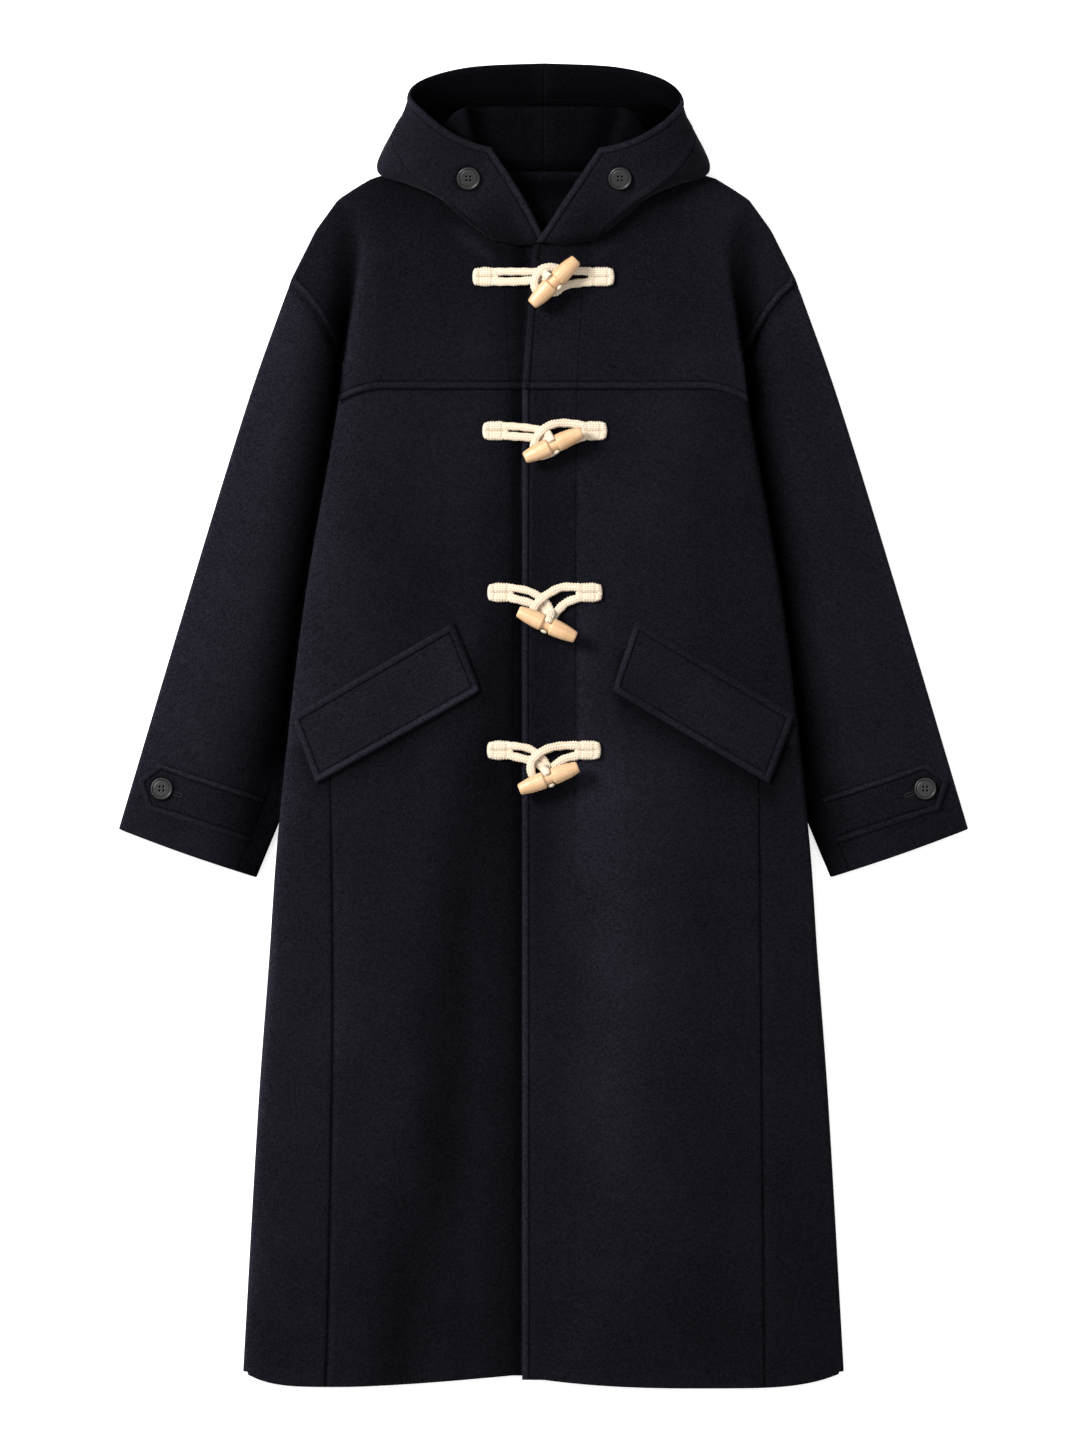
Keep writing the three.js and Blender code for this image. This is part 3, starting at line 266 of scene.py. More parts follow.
def cloth_shell(name, middle_surface, up=1, half=CLOTH / 2, keep=None, rise=0.0, sewing=None, tone=0.0,
                inside_tone=None):
    """Cloth about its middle surface. The outer face is half the thickness up the normal plus rise,
    the inner face half down it. Within one thickness r of an edge, half shrinks as the height of a
    circle does: half times the root of one less the square of the share of r that is left. tone is
    painted light and shade: how much lighter or darker the cloth is painted there, in stops, and
    inside_tone the same for the inner face. What stands up gets a painted highlight, and a dip
    painted shade."""
    p = middle_surface
    rows, cols = p.shape[:2]
    n = grid_normals(p) * up
    across, down = lengths_along(p, 1), lengths_along(p, 0)
    edge = np.minimum(np.minimum(across, across[:, -1:] - across), np.minimum(down, down[-1:] - down))
    share = np.clip(edge / (half * 1.1), 0, 1)
    h = half * np.sqrt(1 - (1 - share) ** 2)
    outer = p + n * (h + rise * share)[..., None]
    inner = p - n * h[..., None]
    points = np.concatenate([outer.reshape(-1, 3), inner.reshape(-1, 3)])
    kept = np.ones((rows - 1, cols - 1), bool) if keep is None else keep
    cells = grid_faces(rows, cols)[kept.ravel()]
    under = cells + rows * cols
    rim = []
    framed = np.pad(kept, 1)
    neighbours = ((framed[:-2, 1:-1], 1, 0), (framed[2:, 1:-1], 3, 2),
                  (framed[1:-1, :-2], 0, 3), (framed[1:-1, 2:], 2, 1))
    for neighbour, a, b in neighbours:
        open_side = (kept & ~neighbour).ravel()[kept.ravel()]
        c = cells[open_side]
        rim.append(np.stack([c[:, a], c[:, b], c[:, b] + rows * cols, c[:, a] + rows * cols], -1))
    faces = np.concatenate([cells, under[:, ::-1], *rim])
    if up < 0:
        faces = faces[:, ::-1]
    uv = np.full((rows, cols, 2), FAR) if sewing is None else np.clip(sewing, -FAR, FAR)
    plain = np.zeros((rows, cols))
    outside = tone + RAISED_HIGHLIGHT * np.clip(rise / WELT, -0.5, 1) + plain
    inside = outside if inside_tone is None else inside_tone + plain
    tones = np.concatenate([outside.ravel(), inside.ravel()])
    return new_piece(name, points, faces, np.concatenate([uv.reshape(-1, 2)] * 2), tones)


# %% Sewn edges
STITCH_IN = 7.0  # mm from an edge to its line of stitches
SIDE_NAME = {1: "left", -1: "right"}  # the wearer's, by the sign of x


def welt(d):
    """Rise of cloth d mm inside a stitched edge: the root of a half sine out to the stitches, less a
    narrow bell-shaped dent along them."""
    swell = np.sqrt(np.clip(np.sin(np.pi * np.clip(d / STITCH_IN, 0, 1)), 0, 1))
    return WELT * swell - 0.75 * bell(d - STITCH_IN, 0.9)


def butted(d):
    """Dip of cloth d mm from a plain pressed seam: a bell 1.6 mm wide."""
    return -0.7 * bell(d, 1.6)


def faint(d):
    """A line that shows less: the distance can't fall under 0.65 mm."""
    return np.hypot(d, 0.65)


def line_offset(x, y, points, sign=1):
    """Signed distance of each point from a line of straight runs, growing to the line's left."""
    p = np.asarray(points, float)
    a, b = p[:-1], p[1:]
    d = b - a
    rel = np.stack([x, y], -1)[..., None, :] - a
    t = np.clip((rel * d).sum(-1) / (d * d).sum(-1), 0, 1)
    away = rel - t[..., None] * d
    far = np.linalg.norm(away, axis=-1)
    side = np.sign(d[:, 0] * rel[..., 1] - d[:, 1] * rel[..., 0])
    near = far.argmin(-1)[..., None]
    return sign * np.take_along_axis(far * np.where(side == 0, 1, side), near, -1)[..., 0]


def nearest(*offsets):
    """Of several signed distances, the one nearest to 0."""
    o = np.stack(np.broadcast_arrays(*offsets))
    return np.take_along_axis(o, np.abs(o).argmin(0)[None], 0)[0]


print("welt half way to the stitches:", round(float(welt(3.5)), 2), "mm")

# %% [markdown]
# ## Wool
#
# Melton is a heavy wool cloth that has been felted until its weave is gone. What is left is a short
# nap: fibres a millimetre or two long, lying every way. From above it is a very dark navy with a
# faint lighter grain. Along an edge that turns away it looks paler, because light catches the
# fibre tips, and the shader's sheen does that. Two noises make the nap: a stretched one for the
# fibres and a fine one for fuzz. A wide faint noise makes the cloth uneven. The sewing map holds the
# distance to the nearest stitch line, so a groove as narrow as a thread needs no finer mesh.

# %% Node helpers
def new_material(name):
    """A material with an empty tree but for its output and one Principled shader."""
    m = bpy.data.materials.new(name)
    m.use_nodes = True
    return m, m.node_tree, m.node_tree.nodes["Principled BSDF"]


def fill(tree, socket, value):
    """Gives a socket its value, or a link where the value is the output of another node."""
    if isinstance(value, bpy.types.NodeSocket):
        tree.links.new(value, socket)
    else:
        socket.default_value = value


def surface(tree, shader, sockets):
    """Fills the sockets of a shader by their names."""
    for key, value in sockets.items():
        fill(tree, shader.inputs[key], value)


def node(tree, kind, **settings):
    """A new node. Settings named after a socket, or in_ and its number, fill that socket; the rest are
    properties."""
    n = tree.nodes.new("ShaderNode" + kind)
    for key, value in settings.items():
        if key.startswith("in_"):
            fill(tree, n.inputs[int(key[3:])], value)
        elif key in n.inputs.keys():
            fill(tree, n.inputs[key], value)
        else:
            setattr(n, key, value)
    return n


def in_object(tree):
    """The place of each point in its object, in metres."""
    return node(tree, "TexCoord").outputs["Object"]


def noise(tree, place, scale, detail=2.0, **more):
    """A soft noise of about scale cells in a metre."""
    return node(tree, "TexNoise", Vector=place, Scale=scale, Detail=detail, **more).outputs[0]


def remapped(tree, value, low, high, to_low=0.0, to_high=1.0):
    """The value moved from low and high to to_low and to_high, and held level past both."""
    ends = {"From Min": low, "From Max": high, "To Min": to_low, "To Max": to_high}
    return node(tree, "MapRange", Value=value, **ends).outputs[0]


def bumped(tree, height, strength, distance):
    """Normals tilted by a height map; distance is what a height of 1 stands for, in metres."""
    return node(tree, "Bump", Height=height, Strength=strength, Distance=distance).outputs[0]


def sums(tree, operation, a, b=0.0, c=0.0, clamp=False):
    """One step of arithmetic on sockets or numbers."""
    return node(tree, "Math", operation=operation, in_0=a, in_1=b, in_2=c, use_clamp=clamp).outputs[0]


def blend_colour(tree, share, a, b):
    """Colour a where share is 0 and b where it is 1."""
    return node(tree, "Mix", data_type="RGBA", in_0=share, in_6=a, in_7=b).outputs[2]


def groove(tree, offset, wide):
    """1 on a line, falling to 0 at wide metres from it."""
    away = sums(tree, "ABSOLUTE", offset)
    return node(tree, "MapRange", interpolation_type="SMOOTHSTEP", Value=away,
                **{"From Min": 0.0, "From Max": wide, "To Min": 1.0, "To Max": 0.0}).outputs[0]


# %% Navy melton
NAVY = (0.0020, 0.0018, 0.0030, 1)
NAVY_TIPS = (0.0090, 0.0083, 0.0120, 1)
STITCH_SHADE = (0.0010, 0.0009, 0.0013, 1)

melton, tree, shader = new_material("navy_melton")
place = in_object(tree)
fibres = noise(tree, place, 520.0, 3.0, Roughness=0.62, Distortion=1.6)
fuzz = noise(tree, place, 1700.0, 2.0, Roughness=0.6)
uneven = noise(tree, place, 11.0, 3.0, Roughness=0.55)
lint = noise(tree, place, 290.0, 1.0, Distortion=2.4)
nap = sums(tree, "ADD", sums(tree, "MULTIPLY", fibres, 0.65), sums(tree, "MULTIPLY", fuzz, 0.35))

# Two stitch lines can be near a point; each stitch pulls the cloth in by its own amount. Along them
# the colour is painted darker, as shade in the stitch grooves, and the bump dents them.
offsets = node(tree, "SeparateXYZ", Vector=node(tree, "UVMap", uv_map="sewing").outputs[0]).outputs
stitches = sums(tree, "MAXIMUM", groove(tree, offsets[0], 0.0013), groove(tree, offsets[1], 0.0011))
pull = remapped(tree, noise(tree, place, 190.0, 1.0), 0.35, 0.65, 0.35, 1.0)
stitches = sums(tree, "MULTIPLY", stitches, pull)

tips = remapped(tree, nap, 0.41, 0.60)
shade = remapped(tree, uneven, 0.3, 0.7, -0.11, 0.11)
specks = remapped(tree, lint, 0.72, 0.8, 0.0, 0.8)
share = sums(tree, "ADD", sums(tree, "ADD", tips, shade), specks, clamp=True)
colour = blend_colour(tree, share, NAVY, NAVY_TIPS)
# The tone map holds painted light and shade: 2 to the power of its stops scales the colour, and where it
# darkens, the specular and the sheen too.
tone = node(tree, "SeparateXYZ", Vector=node(tree, "UVMap", uv_map="tone").outputs[0]).outputs[0]
painted_brightness = sums(tree, "POWER", 2.0, tone)
colour = node(tree, "VectorMath", operation="SCALE", in_0=colour, Scale=painted_brightness).outputs[0]
height = sums(tree, "SUBTRACT", sums(tree, "MULTIPLY", nap, 0.5), sums(tree, "MULTIPLY", stitches, 0.9))
out_of_light = sums(tree, "MINIMUM", painted_brightness, 1.0)
surface(tree, shader, {
    "Base Color": blend_colour(tree, sums(tree, "MULTIPLY", stitches, 0.75), colour, STITCH_SHADE),
    "Normal": bumped(tree, height, 0.55, 0.0009),
    "Roughness": 0.92,
    "Specular IOR Level": sums(tree, "MULTIPLY", out_of_light, 0.02),
    "Sheen Weight": sums(tree, "MULTIPLY", out_of_light, 0.035),
    "Sheen Roughness": 0.42,
    "Sheen Tint": (0.62, 0.62, 0.72, 1),
})
print("melton nodes:", len(tree.nodes))


# %% Finish a wool piece
def wool(piece, cad_node):
    """The piece takes the melton, rides with the coat, and stands for its CAD node, which is hidden."""
    piece.data.materials.append(melton)
    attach(piece, "root")
    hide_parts(cad_node)
    return piece


# %% [markdown]
# ## The laid body
#
# A coat on its back is two layers with a little air between them. The back lies on the floor. The
# fronts lie over it, roll round the sides and come back underneath to the side seams. Where the
# sleeves are tucked under, the whole body rides up over them. These functions give the height of
# the cloth from its place on the floor, and every body piece shares them, so that neighbours meet.

# %% Outline of the body
FLAT = 2 * CLOTH + 3.9  # height of a front's outer face
FRONT_EDGE = -20.2  # x of the left front's edge, which laps over the right front
UNDER_EDGE = 21.0  # x of the right front's hidden edge, to the other side
LAP_DROP = CLOTH + 0.9
YOKE_EDGE = 320.0
SLEEVE_HIGH, SLEEVE_LOW = 8.4, 6.4
BODY_ENDS_Y = -612.0
CORNER_X = 285.0  # x of the hem's corners

half_at = through([(BODY_ENDS_Y, CORNER_X), (-355, 270.2), (-220, 260.2), (-100, 251.5), (118, 226.5),
                   (309, 194), (382, 186.5)])
SEAM_HEM_X, SEAM_MOUTH_X = 210.0, 204.0  # x of the seam beside a side panel at the hem and the pocket
SEAM_AT = {  # x of that seam on its way down, which is not quite the same on both sides
    1: through([(-628, SEAM_HEM_X), (30, SEAM_MOUTH_X)]),
    -1: through([(-628, 207), (-569, 204.7), (-427, 201.9), (-284, 200), (-127, 200.9), (30, 204)]),
}
HEM = {  # lowest y and where it is, y at the front edge, y at the corner, power of the rise to the front
    "left": (-628, 145, -619.8, -612, 2.4),
    "right": (-626.6, 190, -612.6, -612, 1.45),
    "back": (-612, 60, -612, -606, 2),
}
CORNER_POWER = 4.2  # of the hem's rise to its corner
MOUTH_AT, MOUTH_RISE = (238.5, 3.4), 0.568  # outer end of the pocket mouth, and its rise per mm


def hem_at(name, x):
    """The hem's y: lowest at one x, rising to the front edge and to the side by powers of the way
    there."""
    low, low_at, front, corner, power = HEM[name]
    to_front = mix(low, front, np.clip((low_at - x) / low_at, 0, 1) ** power)
    to_side = mix(low, corner, np.clip((x - low_at) / (CORNER_X - low_at), 0, 1) ** CORNER_POWER)
    return np.where(x < low_at, to_front, to_side)


def mouth_at(x):
    """The y of the pocket mouth: a straight line up towards the middle."""
    return MOUTH_AT[1] + (MOUTH_AT[0] - x) * MOUTH_RISE


def yoke_edge_at(x):
    """The y of the yoke's lower edge: level, then curving down towards the side."""
    return YOKE_EDGE - 13 * np.clip((x - 150) / 45, 0, 1) ** 2


print("half width at the hem:", float(half_at(-612)), "mm")

# %% Sleeves and armholes in plan
outer_x = through([(0, 403), (0.38, 343.7), (0.78, 279.6), (1, 240.2)])
outer_y = through([(0, -97.4), (0.78, 309.5), (1, 420.6)])
inner_x = through([(0, 272.3), (0.15, 250), (0.4, 213.5), (0.78, 160), (1, 131)])
inner_y = through([(0, -143.2), (0.78, 136.5), (1, 214.7)])
armhole_off = through([(0, 0), (0.13, 9), (0.36, 9), (0.49, -1), (1, -8)])
SHOULDER_TIP = np.array([240.2, 420.6])
UNDERARM = np.array([131.0, 214.7])
ARMHOLE_WAY = (UNDERARM - SHOULDER_TIP) / np.linalg.norm(UNDERARM - SHOULDER_TIP)


def armhole_at(f, more=0.0):
    """A point of the armhole seam, f of the way from shoulder to underarm, off the straight line by a
    table of offsets plus more."""
    off = armhole_off(f) + more
    x = mix(SHOULDER_TIP[0], UNDERARM[0], f) + ARMHOLE_WAY[1] * off
    y = mix(SHOULDER_TIP[1], UNDERARM[1], f) - ARMHOLE_WAY[0] * off
    return np.stack([x, y], -1)


def beyond(x, y, a, b):
    """Signed distance from the line through a and b, growing to its left."""
    dx, dy = b[0] - a[0], b[1] - a[1]
    return (dx * (y - a[1]) - dy * (x - a[0])) / np.hypot(dx, dy)


# %% Heights of the laid cloth
def sleeve_lift(x, y, ramp=26.0):
    """Lift of the body where it lies over a sleeve: full over it, eased to nothing over ramp."""
    end = beyond(x, y, armhole_at(0.5), armhole_at(1.0))
    inner = beyond(x, y, (263, -141.5), UNDERARM)
    away = np.maximum(-end, inner) - 14
    return (SLEEVE_LOW + 1) * (1 - ease(away / ramp)) * ease((378 - y) / 36)


def neck_lift(x, y):
    """Lift of the back neck over the folded hood: full inside an oval, eased to nothing outside."""
    return 7 * (1 - ease((np.hypot(x / 88, (y - 528) / 58) - 1) * 2))


def under_at(x, y):
    """Height of the underside of the body: the two lifts joined as the sides of a right angle."""
    return np.hypot(sleeve_lift(x, y), neck_lift(x, y))


crest_x = through([(300, 189), (340, 186), (382, 181), (419, 175), (452, 172), (485, 176), (521, 182)])
crest_high = through([(300, 5.7), (340, 5.7), (382, 5.6), (419, 5), (452, 3.2), (485, 0.8), (521, 0)])


def shoulder_bulge(x, y):
    """Height of the roll of cloth that runs down from the shoulder inside the armhole."""
    high = ease((y - 260) / 60) * crest_high(y) * ease((x - 60) / (crest_x(y) - 70))
    return np.where(y < 260, 0, high)


FOLDS = np.array([  # side, from x, y to x, y, width, height: long soft folds of the fronts
    (1, 95, -60, 75, -560, 42, 1.8), (1, 30, -120, 22, -600, 26, -1.3), (1, 160, -180, 175, -610, 34, -1.2),
    (-1, 150, -80, 160, -600, 40, 1.5), (-1, 80, -100, 66, -610, 38, -1.6),
    (1, 60, 300, 110, 120, 45, 1.2), (-1, 60, 300, 110, 120, 45, 1.2),
])


def folds_at(side, x, y):
    """Sum of soft folds: each a bell across its line, eased in and out along it."""
    z = np.zeros(np.broadcast(x, y).shape)
    for x0, y0, x1, y1, wide, high in FOLDS[FOLDS[:, 0] == side, 1:]:
        dx, dy = x1 - x0, y1 - y0
        long = math.hypot(dx, dy)
        t = ((x - x0) * dx + (y - y0) * dy) / long**2
        away = ((x - x0) * dy - (y - y0) * dx) / long
        z = z + high * ease((t + 0.12) / 0.3) * ease((1.2 - t) / 0.3) * bell(away, wide)
    return z


def lap_share(x):
    """1 where the right front lies under the left one, eased to 0 where it shows."""
    return ease((34 - x) / 16)


def front_top(side, x, y):
    """Height of the outer face of a front: flat, plus lifts and roll, lap and folds."""
    lap = 1.2 * (1 - ease((np.abs(x) - 24) / 40))
    lift = sleeve_lift(x, y, 90.0)
    under = 0 if side > 0 else lap_share(x)
    folds = mix(folds_at(side, x, y), folds_at(1, -x, y), under)
    rise = np.sqrt(lift**2 + shoulder_bulge(x, y) ** 2 + neck_lift(x, y) ** 2)
    return FLAT + rise + lap + folds


def lap_drop(side, x):
    """How far the right half is dropped at x, so that it passes under the left one."""
    return 0 if side > 0 else LAP_DROP * lap_share(x)


def front_middle(side, x, y):
    """Height of the middle of a front's cloth."""
    return front_top(side, x, y) - CLOTH / 2 - lap_drop(side, x)


print("height of the front over a sleeve:", round(float(front_top(1, 200.0, 100.0)), 1), "mm")

# %% [markdown]
# ## Light and shade painted into the wool
#
# Brushed wool is never one even black. It is paler where it faces the light, along the rolled edge
# of the body and on the crown of a fold, and it goes almost black where it dips out of the light, as
# beside the body's edge on a sleeve. That light and shade is also painted into the colour: each place
# gets a tone in stops, +1 twice as light, -1 half. The tones are written as distances from the
# coat's own lines.

# %% Painted light and shade of the body
# Corners of the pocket flaps: upper inner, upper outer, lower outer, lower inner.
FLAP = {1: [(87.5, 100.7), (238.5, 10.5), (214, -54.2), (64.8, 34.2)],
        -1: [(85.4, 98.8), (239.2, 9.2), (215.5, -54), (59.1, 33.9)]}
DEEP_FOLD = [(-50, 25), (-75, -118), (-89, -260), (-103, -403), (-132, -545), (-140, -640)]


def beyond_sides(x, y, corners):
    """How far a point is outside a four-cornered piece: the largest of the distances from the lines
    through its sides, less than 0 inside it."""
    turns = np.sign(beyond(*corners[2], corners[0], corners[1]))
    return np.max([-turns * beyond(x, y, a, b) for a, b in zip(corners, corners[1:] + corners[:1])], axis=0)


# Soft patches of painted light and shade on the fronts and yokes: stops; x and width of a bell across;
# y and width of one along.
FRONT_PATCHES = [
    (-0.25, -8, 36, 50, 95), (-0.7, -46, 19, 65, 85), (-0.42, -138, 55, 175, 130),
    (-0.3, -3, 14, -130, 70), (0.25, -62, 26, -215, 90), (-0.2, -119, 16, -280, 60),
]
YOKE_PATCHES = [(-0.3, 0, 62, 446, 13), (-0.35, 112, 24, 478, 16), (-0.28, 132, 46, 395, 62)]
# Painted shade and a painted highlight by the armhole, in the same columns.
ARMHOLE_PATCHES = [(-0.45, 197, 7, 440, 30), (0.3, 190, 6, 393, 25)]  # on both sides alike
# Long soft stripes of painted light and shade on the fronts: stops; x and width of a bell across; and
# at the upper and lower end the y where it is gone and how far from there it is full. Some go on past
# the yoke or the hem.
PAST_YOKE, PAST_HEM = (900, 1), (-900, 1)
STRIPES = [
    (0.62, 66, 34, (40, 110), (-640, 420)), (0.25, 30, 30, (-420, 80), PAST_HEM),
    (0.4, 36, 16, (150, 60), (-190, 80)), (-0.22, -3, 13, PAST_YOKE, (100, 60)),
    (-0.25, -80, 14, (-110, 60), PAST_HEM), (0.25, -122, 16, (-260, 60), PAST_HEM),
    (0.25, -190, 16, (-110, 60), PAST_HEM), (-0.3, -190, 18, (-300, 60), PAST_HEM),
]


def patches(x, y, rows):
    """Stops of soft patches of painted light and shade: for each row a bell across times a bell along,
    added up.
    """
    return sum(stops * bell(x - at_x, wide) * bell(y - at_y, long) for stops, at_x, wide, at_y, long in rows)


def stripes(x, y, rows):
    """Stops of soft stripes of painted light and shade: for each row a bell across, eased in below one y
    and out above another.
    """
    total = 0.0
    for stops, at_x, wide, (top, top_over), (bottom, bottom_over) in rows:
        ends = ease((top - y) / top_over) * ease((y - bottom) / bottom_over)
        total = total + stops * bell(x - at_x, wide) * ends
    return total


def side_light_and_shade(x, y, low):
    """Painted light and shade along the body's rolled side, in stops, by the distance in from it: a
    painted highlight on the wearer's right, with a painted dark line of shade at the very edge above
    the pockets and a painted pale line below them."""
    from_side = np.clip(half_at(y) - np.abs(x), 0, None)
    right = mix(0.85, 0.45, low) * np.exp(-from_side / mix(27, 38, low))
    left = -0.2 * np.exp(-from_side / 30)
    dark_line = mix(0.6, 0.9, y > 230) * np.exp(-from_side / 3) * ease((y - 70) / 70)
    pale_line = np.where(x < 0, 1.15, 0.4) * np.exp(-from_side / 6) * low
    return np.where(x < 0, right, left) - dark_line + pale_line


def lap_light_and_shade(x):
    """Painted light and shade by the edge of the left front, in stops: a painted highlight on its welt,
    and painted shadow on the right front beside it.
    """
    on_welt = 0.6 * bell(x - FRONT_EDGE - 2, 4.5) * (x > FRONT_EDGE - 1)
    beside = np.clip(FRONT_EDGE - 2.0 - x, 0, None)
    return on_welt - 1.65 * np.exp(-beside / 12) * (x < FRONT_EDGE)


def fold_shade(x, y):
    """Painted shade, in stops, of the deep fold down the right front, dark to a few centimetres from its
    line, and of the hollow between it and the lap."""
    away = np.abs(line_offset(x, y, DEEP_FOLD))
    deep = 0.85 + 0.12 * ease((-230 - y) / 150) * ease((y + 560) / 120)
    beside_lap = 0.45 * bell(x + 45, 18) * ease((20 - y) / 80) * (x < FRONT_EDGE)
    return -deep * bell(away, 28) * ease((45 - y) / 90) - beside_lap


def seam_light_and_shade(x, y, low):
    """Painted light and shade of the seams beside the side panels, in stops: painted shade in the seam,
    and a painted highlight on its far side.
    """
    left_seam, right_seam = x - SEAM_AT[1](y), x + SEAM_AT[-1](y)
    left = 0.2 * bell(left_seam - 3, 2.5) - 0.5 * bell(left_seam, 2)
    right = 0.35 * bell(right_seam - 3, 2.5) - bell(right_seam, 2)
    return (left + right) * low


def flap_shade(x, y):
    """Stops of the cloth below the pocket flaps, dark beside them and fading within centimetres."""
    total = 0.0
    for side in SIDE_NAME:
        below = [(side * a, b - 6) for a, b in FLAP[side]]
        from_flap = np.clip(beyond_sides(x, y, below), 0, None)
        deep = 0.85 if side < 0 else 1.15 * ease((x - 62) / 14)
        total = total - deep * np.exp(-from_flap / 12) * (y < mouth_at(np.abs(x)) - 20)
    return total


def facing_light_and_shade(x, y):
    """Painted light and shade of the left front's chest, in stops: a little painted shade up to the
    stitches of its facing, and from there a painted highlight, fading outwards."""
    outside = 0.38 * np.exp(-np.clip(x - 31, 0, None) / 34)
    chest = ease((260 - y) / 40) * ease((y + 110) / 60) * (x > FRONT_EDGE + 9)
    return chest * mix(-0.25, outside, ease((x - 31) / 1.5))


def body_light_and_shade(x, y):
    """Painted light and shade of the fronts and side panels at x, y, in stops; x runs from the wearer's
    right to the left.
    """
    low = ease((-20 - y) / 120)
    lines = side_light_and_shade(x, y, low) + lap_light_and_shade(x) + fold_shade(x, y) + seam_light_and_shade(x, y, low)
    # The wearer's right half is painted a little lighter and the far left darker; the hem's edge gets a
    # painted highlight, and the cloth is painted darker towards the bottom.
    halves = mix(0.12, 0.02, low) * (x < -60) - 0.2 * ease((x - 120) / 40)
    hem = 0.4 * np.exp(-np.clip(y + 630, 0, None) / 9) - 0.3 * ease((-330 - y) / 290)
    shapes = patches(x, y, FRONT_PATCHES) + stripes(x, y, STRIPES)
    return lines + flap_shade(x, y) + facing_light_and_shade(x, y) + halves + hem + shapes


# %% Painted light and shade outside the body and on the yokes
def side_shadow(x, y):
    """Stops of what lies outside the edge of the body: from almost black beside it to none at a reach
    that is longer on the wearer's right. Up at the shoulder it is measured from the roll and fades."""
    right = x < 0
    away = np.abs(x) - np.where(y < 345, half_at(y), crest_x(y) + 3)
    reach = mix(np.where(right, 56, 37), np.where(right, 96, 54), ease((90 - y) / 150))
    lit = ease((away - 1.5) / reach) ** 0.85
    least = mix(0.02, np.where(right, 0.24, 0.1), ease((-10 - y) / 60))
    deep = 1 - ease((y - 385) / 95)
    trough = -0.9 * bell(away - 11, 9) * ease((500 - y) / 40) * ease((y - 340) / 40)
    armpit = -np.where(right, 1.3, 0.4) * bell(away - 4, 5) * bell(y - 325, 38)
    return (np.log2(mix(1, np.clip(lit, least, 1), deep)) + trough + armpit) * ease((away + 1.5) / 4)


def yoke_light_and_shade(x, y):
    """Painted light and shade of the yokes, in stops: a painted highlight inside the roll on the wearer's
    right and painted shade outside it, painted shadow beside the left front's edge, soft painted
    patches, and the painted shadow beside the body.
    """
    from_roll = crest_x(y) - np.abs(x)
    on_roll = 1 - ease((0.5 - from_roll) / 4)
    pale = np.where(x < 0, 0.8, 0.12) * np.exp(-np.clip(from_roll, 0, None) / 13)
    beside_edge = np.clip(FRONT_EDGE - 1.0 - x, 0, None)
    lap = -1.1 * np.exp(-beside_edge / 9) * (x < FRONT_EDGE + 6 * ease((y - 330) / 120))
    upright = -0.22 * bell(x + 150, 22) - 0.3 * bell(x + 41, 18)
    spots = patches(x, y, YOKE_PATCHES) + patches(np.abs(x), y, ARMHOLE_PATCHES)
    return pale * ease((500 - y) / 60) * on_roll + lap + upright + spots + side_shadow(x, y)


print("tone beside the body on a sleeve:", round(float(side_shadow(-262.0, 0.0)), 2), "stops")

# %% The side of the back: side seam, armhole, shoulder
side_seam_x = through([(-612, 262), (-355, 248), (-150, 232), (40, 204), (150, 168), (214.7, 131)])


def armhole_rows(more, count=12):
    """Points up the armhole, from underarm to shoulder."""
    return armhole_at(1 - np.linspace(0, 1, count + 1), more)


lower_side = np.linspace(BODY_ENDS_Y, UNDERARM[1], 25)[:-1]
wide_rows, close_rows = armhole_rows(15), armhole_rows(2)
BACK_SIDE = np.concatenate([
    np.stack([side_seam_x(lower_side), lower_side], -1),
    wide_rows[wide_rows[:, 1] < 290],
    [(175.5, 306), (184, 322), (186.5, 340)],  # under the yoke it comes nearer to the sleeve
    close_rows[(close_rows[:, 1] >= 350) & (close_rows[:, 1] < 405)],
    [(196, 465), (176, 490), (150, 511), (138, 517)],
])


def back_side_x(y):
    """x of the back's side at y, by straight runs between the rows of the outline."""
    return np.interp(y, BACK_SIDE[:, 1], BACK_SIDE[:, 0])


print("rows in the outline of the back:", len(BACK_SIDE))

# %% [markdown]
# ## Back
#
# The back is one large piece under everything. Only a scrap of its inner side shows, inside the neck,
# but from below and from behind it is most of the coat, so it gets the same cloth, hem and seams.

# %% Back
BACK_ENDS_Y = 528.0  # at the neck


def back_piece():
    """Rows run up from the hem, columns across. x is a share of the half width at that height."""
    ys = mix(BODY_ENDS_Y, BACK_ENDS_Y, spaced(BACK_ENDS_Y - BODY_ENDS_Y, 9))
    u = 2 * spaced(500, 6) - 1
    x = u[None, :] * back_side_x(ys)[:, None]
    # The hem's curve fades out over the lowest rows.
    fade = ease((ys + 606) / 120)[:, None]
    hem_y = np.minimum(hem_at("back", np.abs(x)), BODY_ENDS_Y - 4)
    y = mix(hem_y + (ys - BODY_ENDS_Y)[:, None], ys[:, None], fade)
    middle_surface = np.stack([x, y, under_at(np.abs(x), y) + CLOTH / 2], -1)
    neck = BACK_ENDS_Y - y
    # Inside the neck its inner face is painted dark as shade, a little less so near the neck edge and darkest
    # a little below it.
    neck_shade = ease((y - 440) / 20) * (-1.3 + 0.6 * bell(neck - 5, 6) - 1.2 * bell(neck - 16, 8))
    sewing = np.stack([np.full_like(x, FAR), np.where(y > 440, faint(x), FAR)], -1)
    piece = cloth_shell("coat_back", middle_surface, up=-1, sewing=sewing, tone=0.0, inside_tone=neck_shade)
    return wool(piece, "back")


back_piece()

# %% [markdown]
# ## Fronts and side panels
#
# Each front runs from its edge to a long straight seam. Beside that seam a narrow panel goes on
# round the side and back under to the side seam. Above the pocket the front itself goes round. The
# front edges are turned and stitched 7 mm in, so they stand up as a soft welt. The left front lies
# on the right one. One grid makes each front: below the pocket mouth its outer columns are left out.

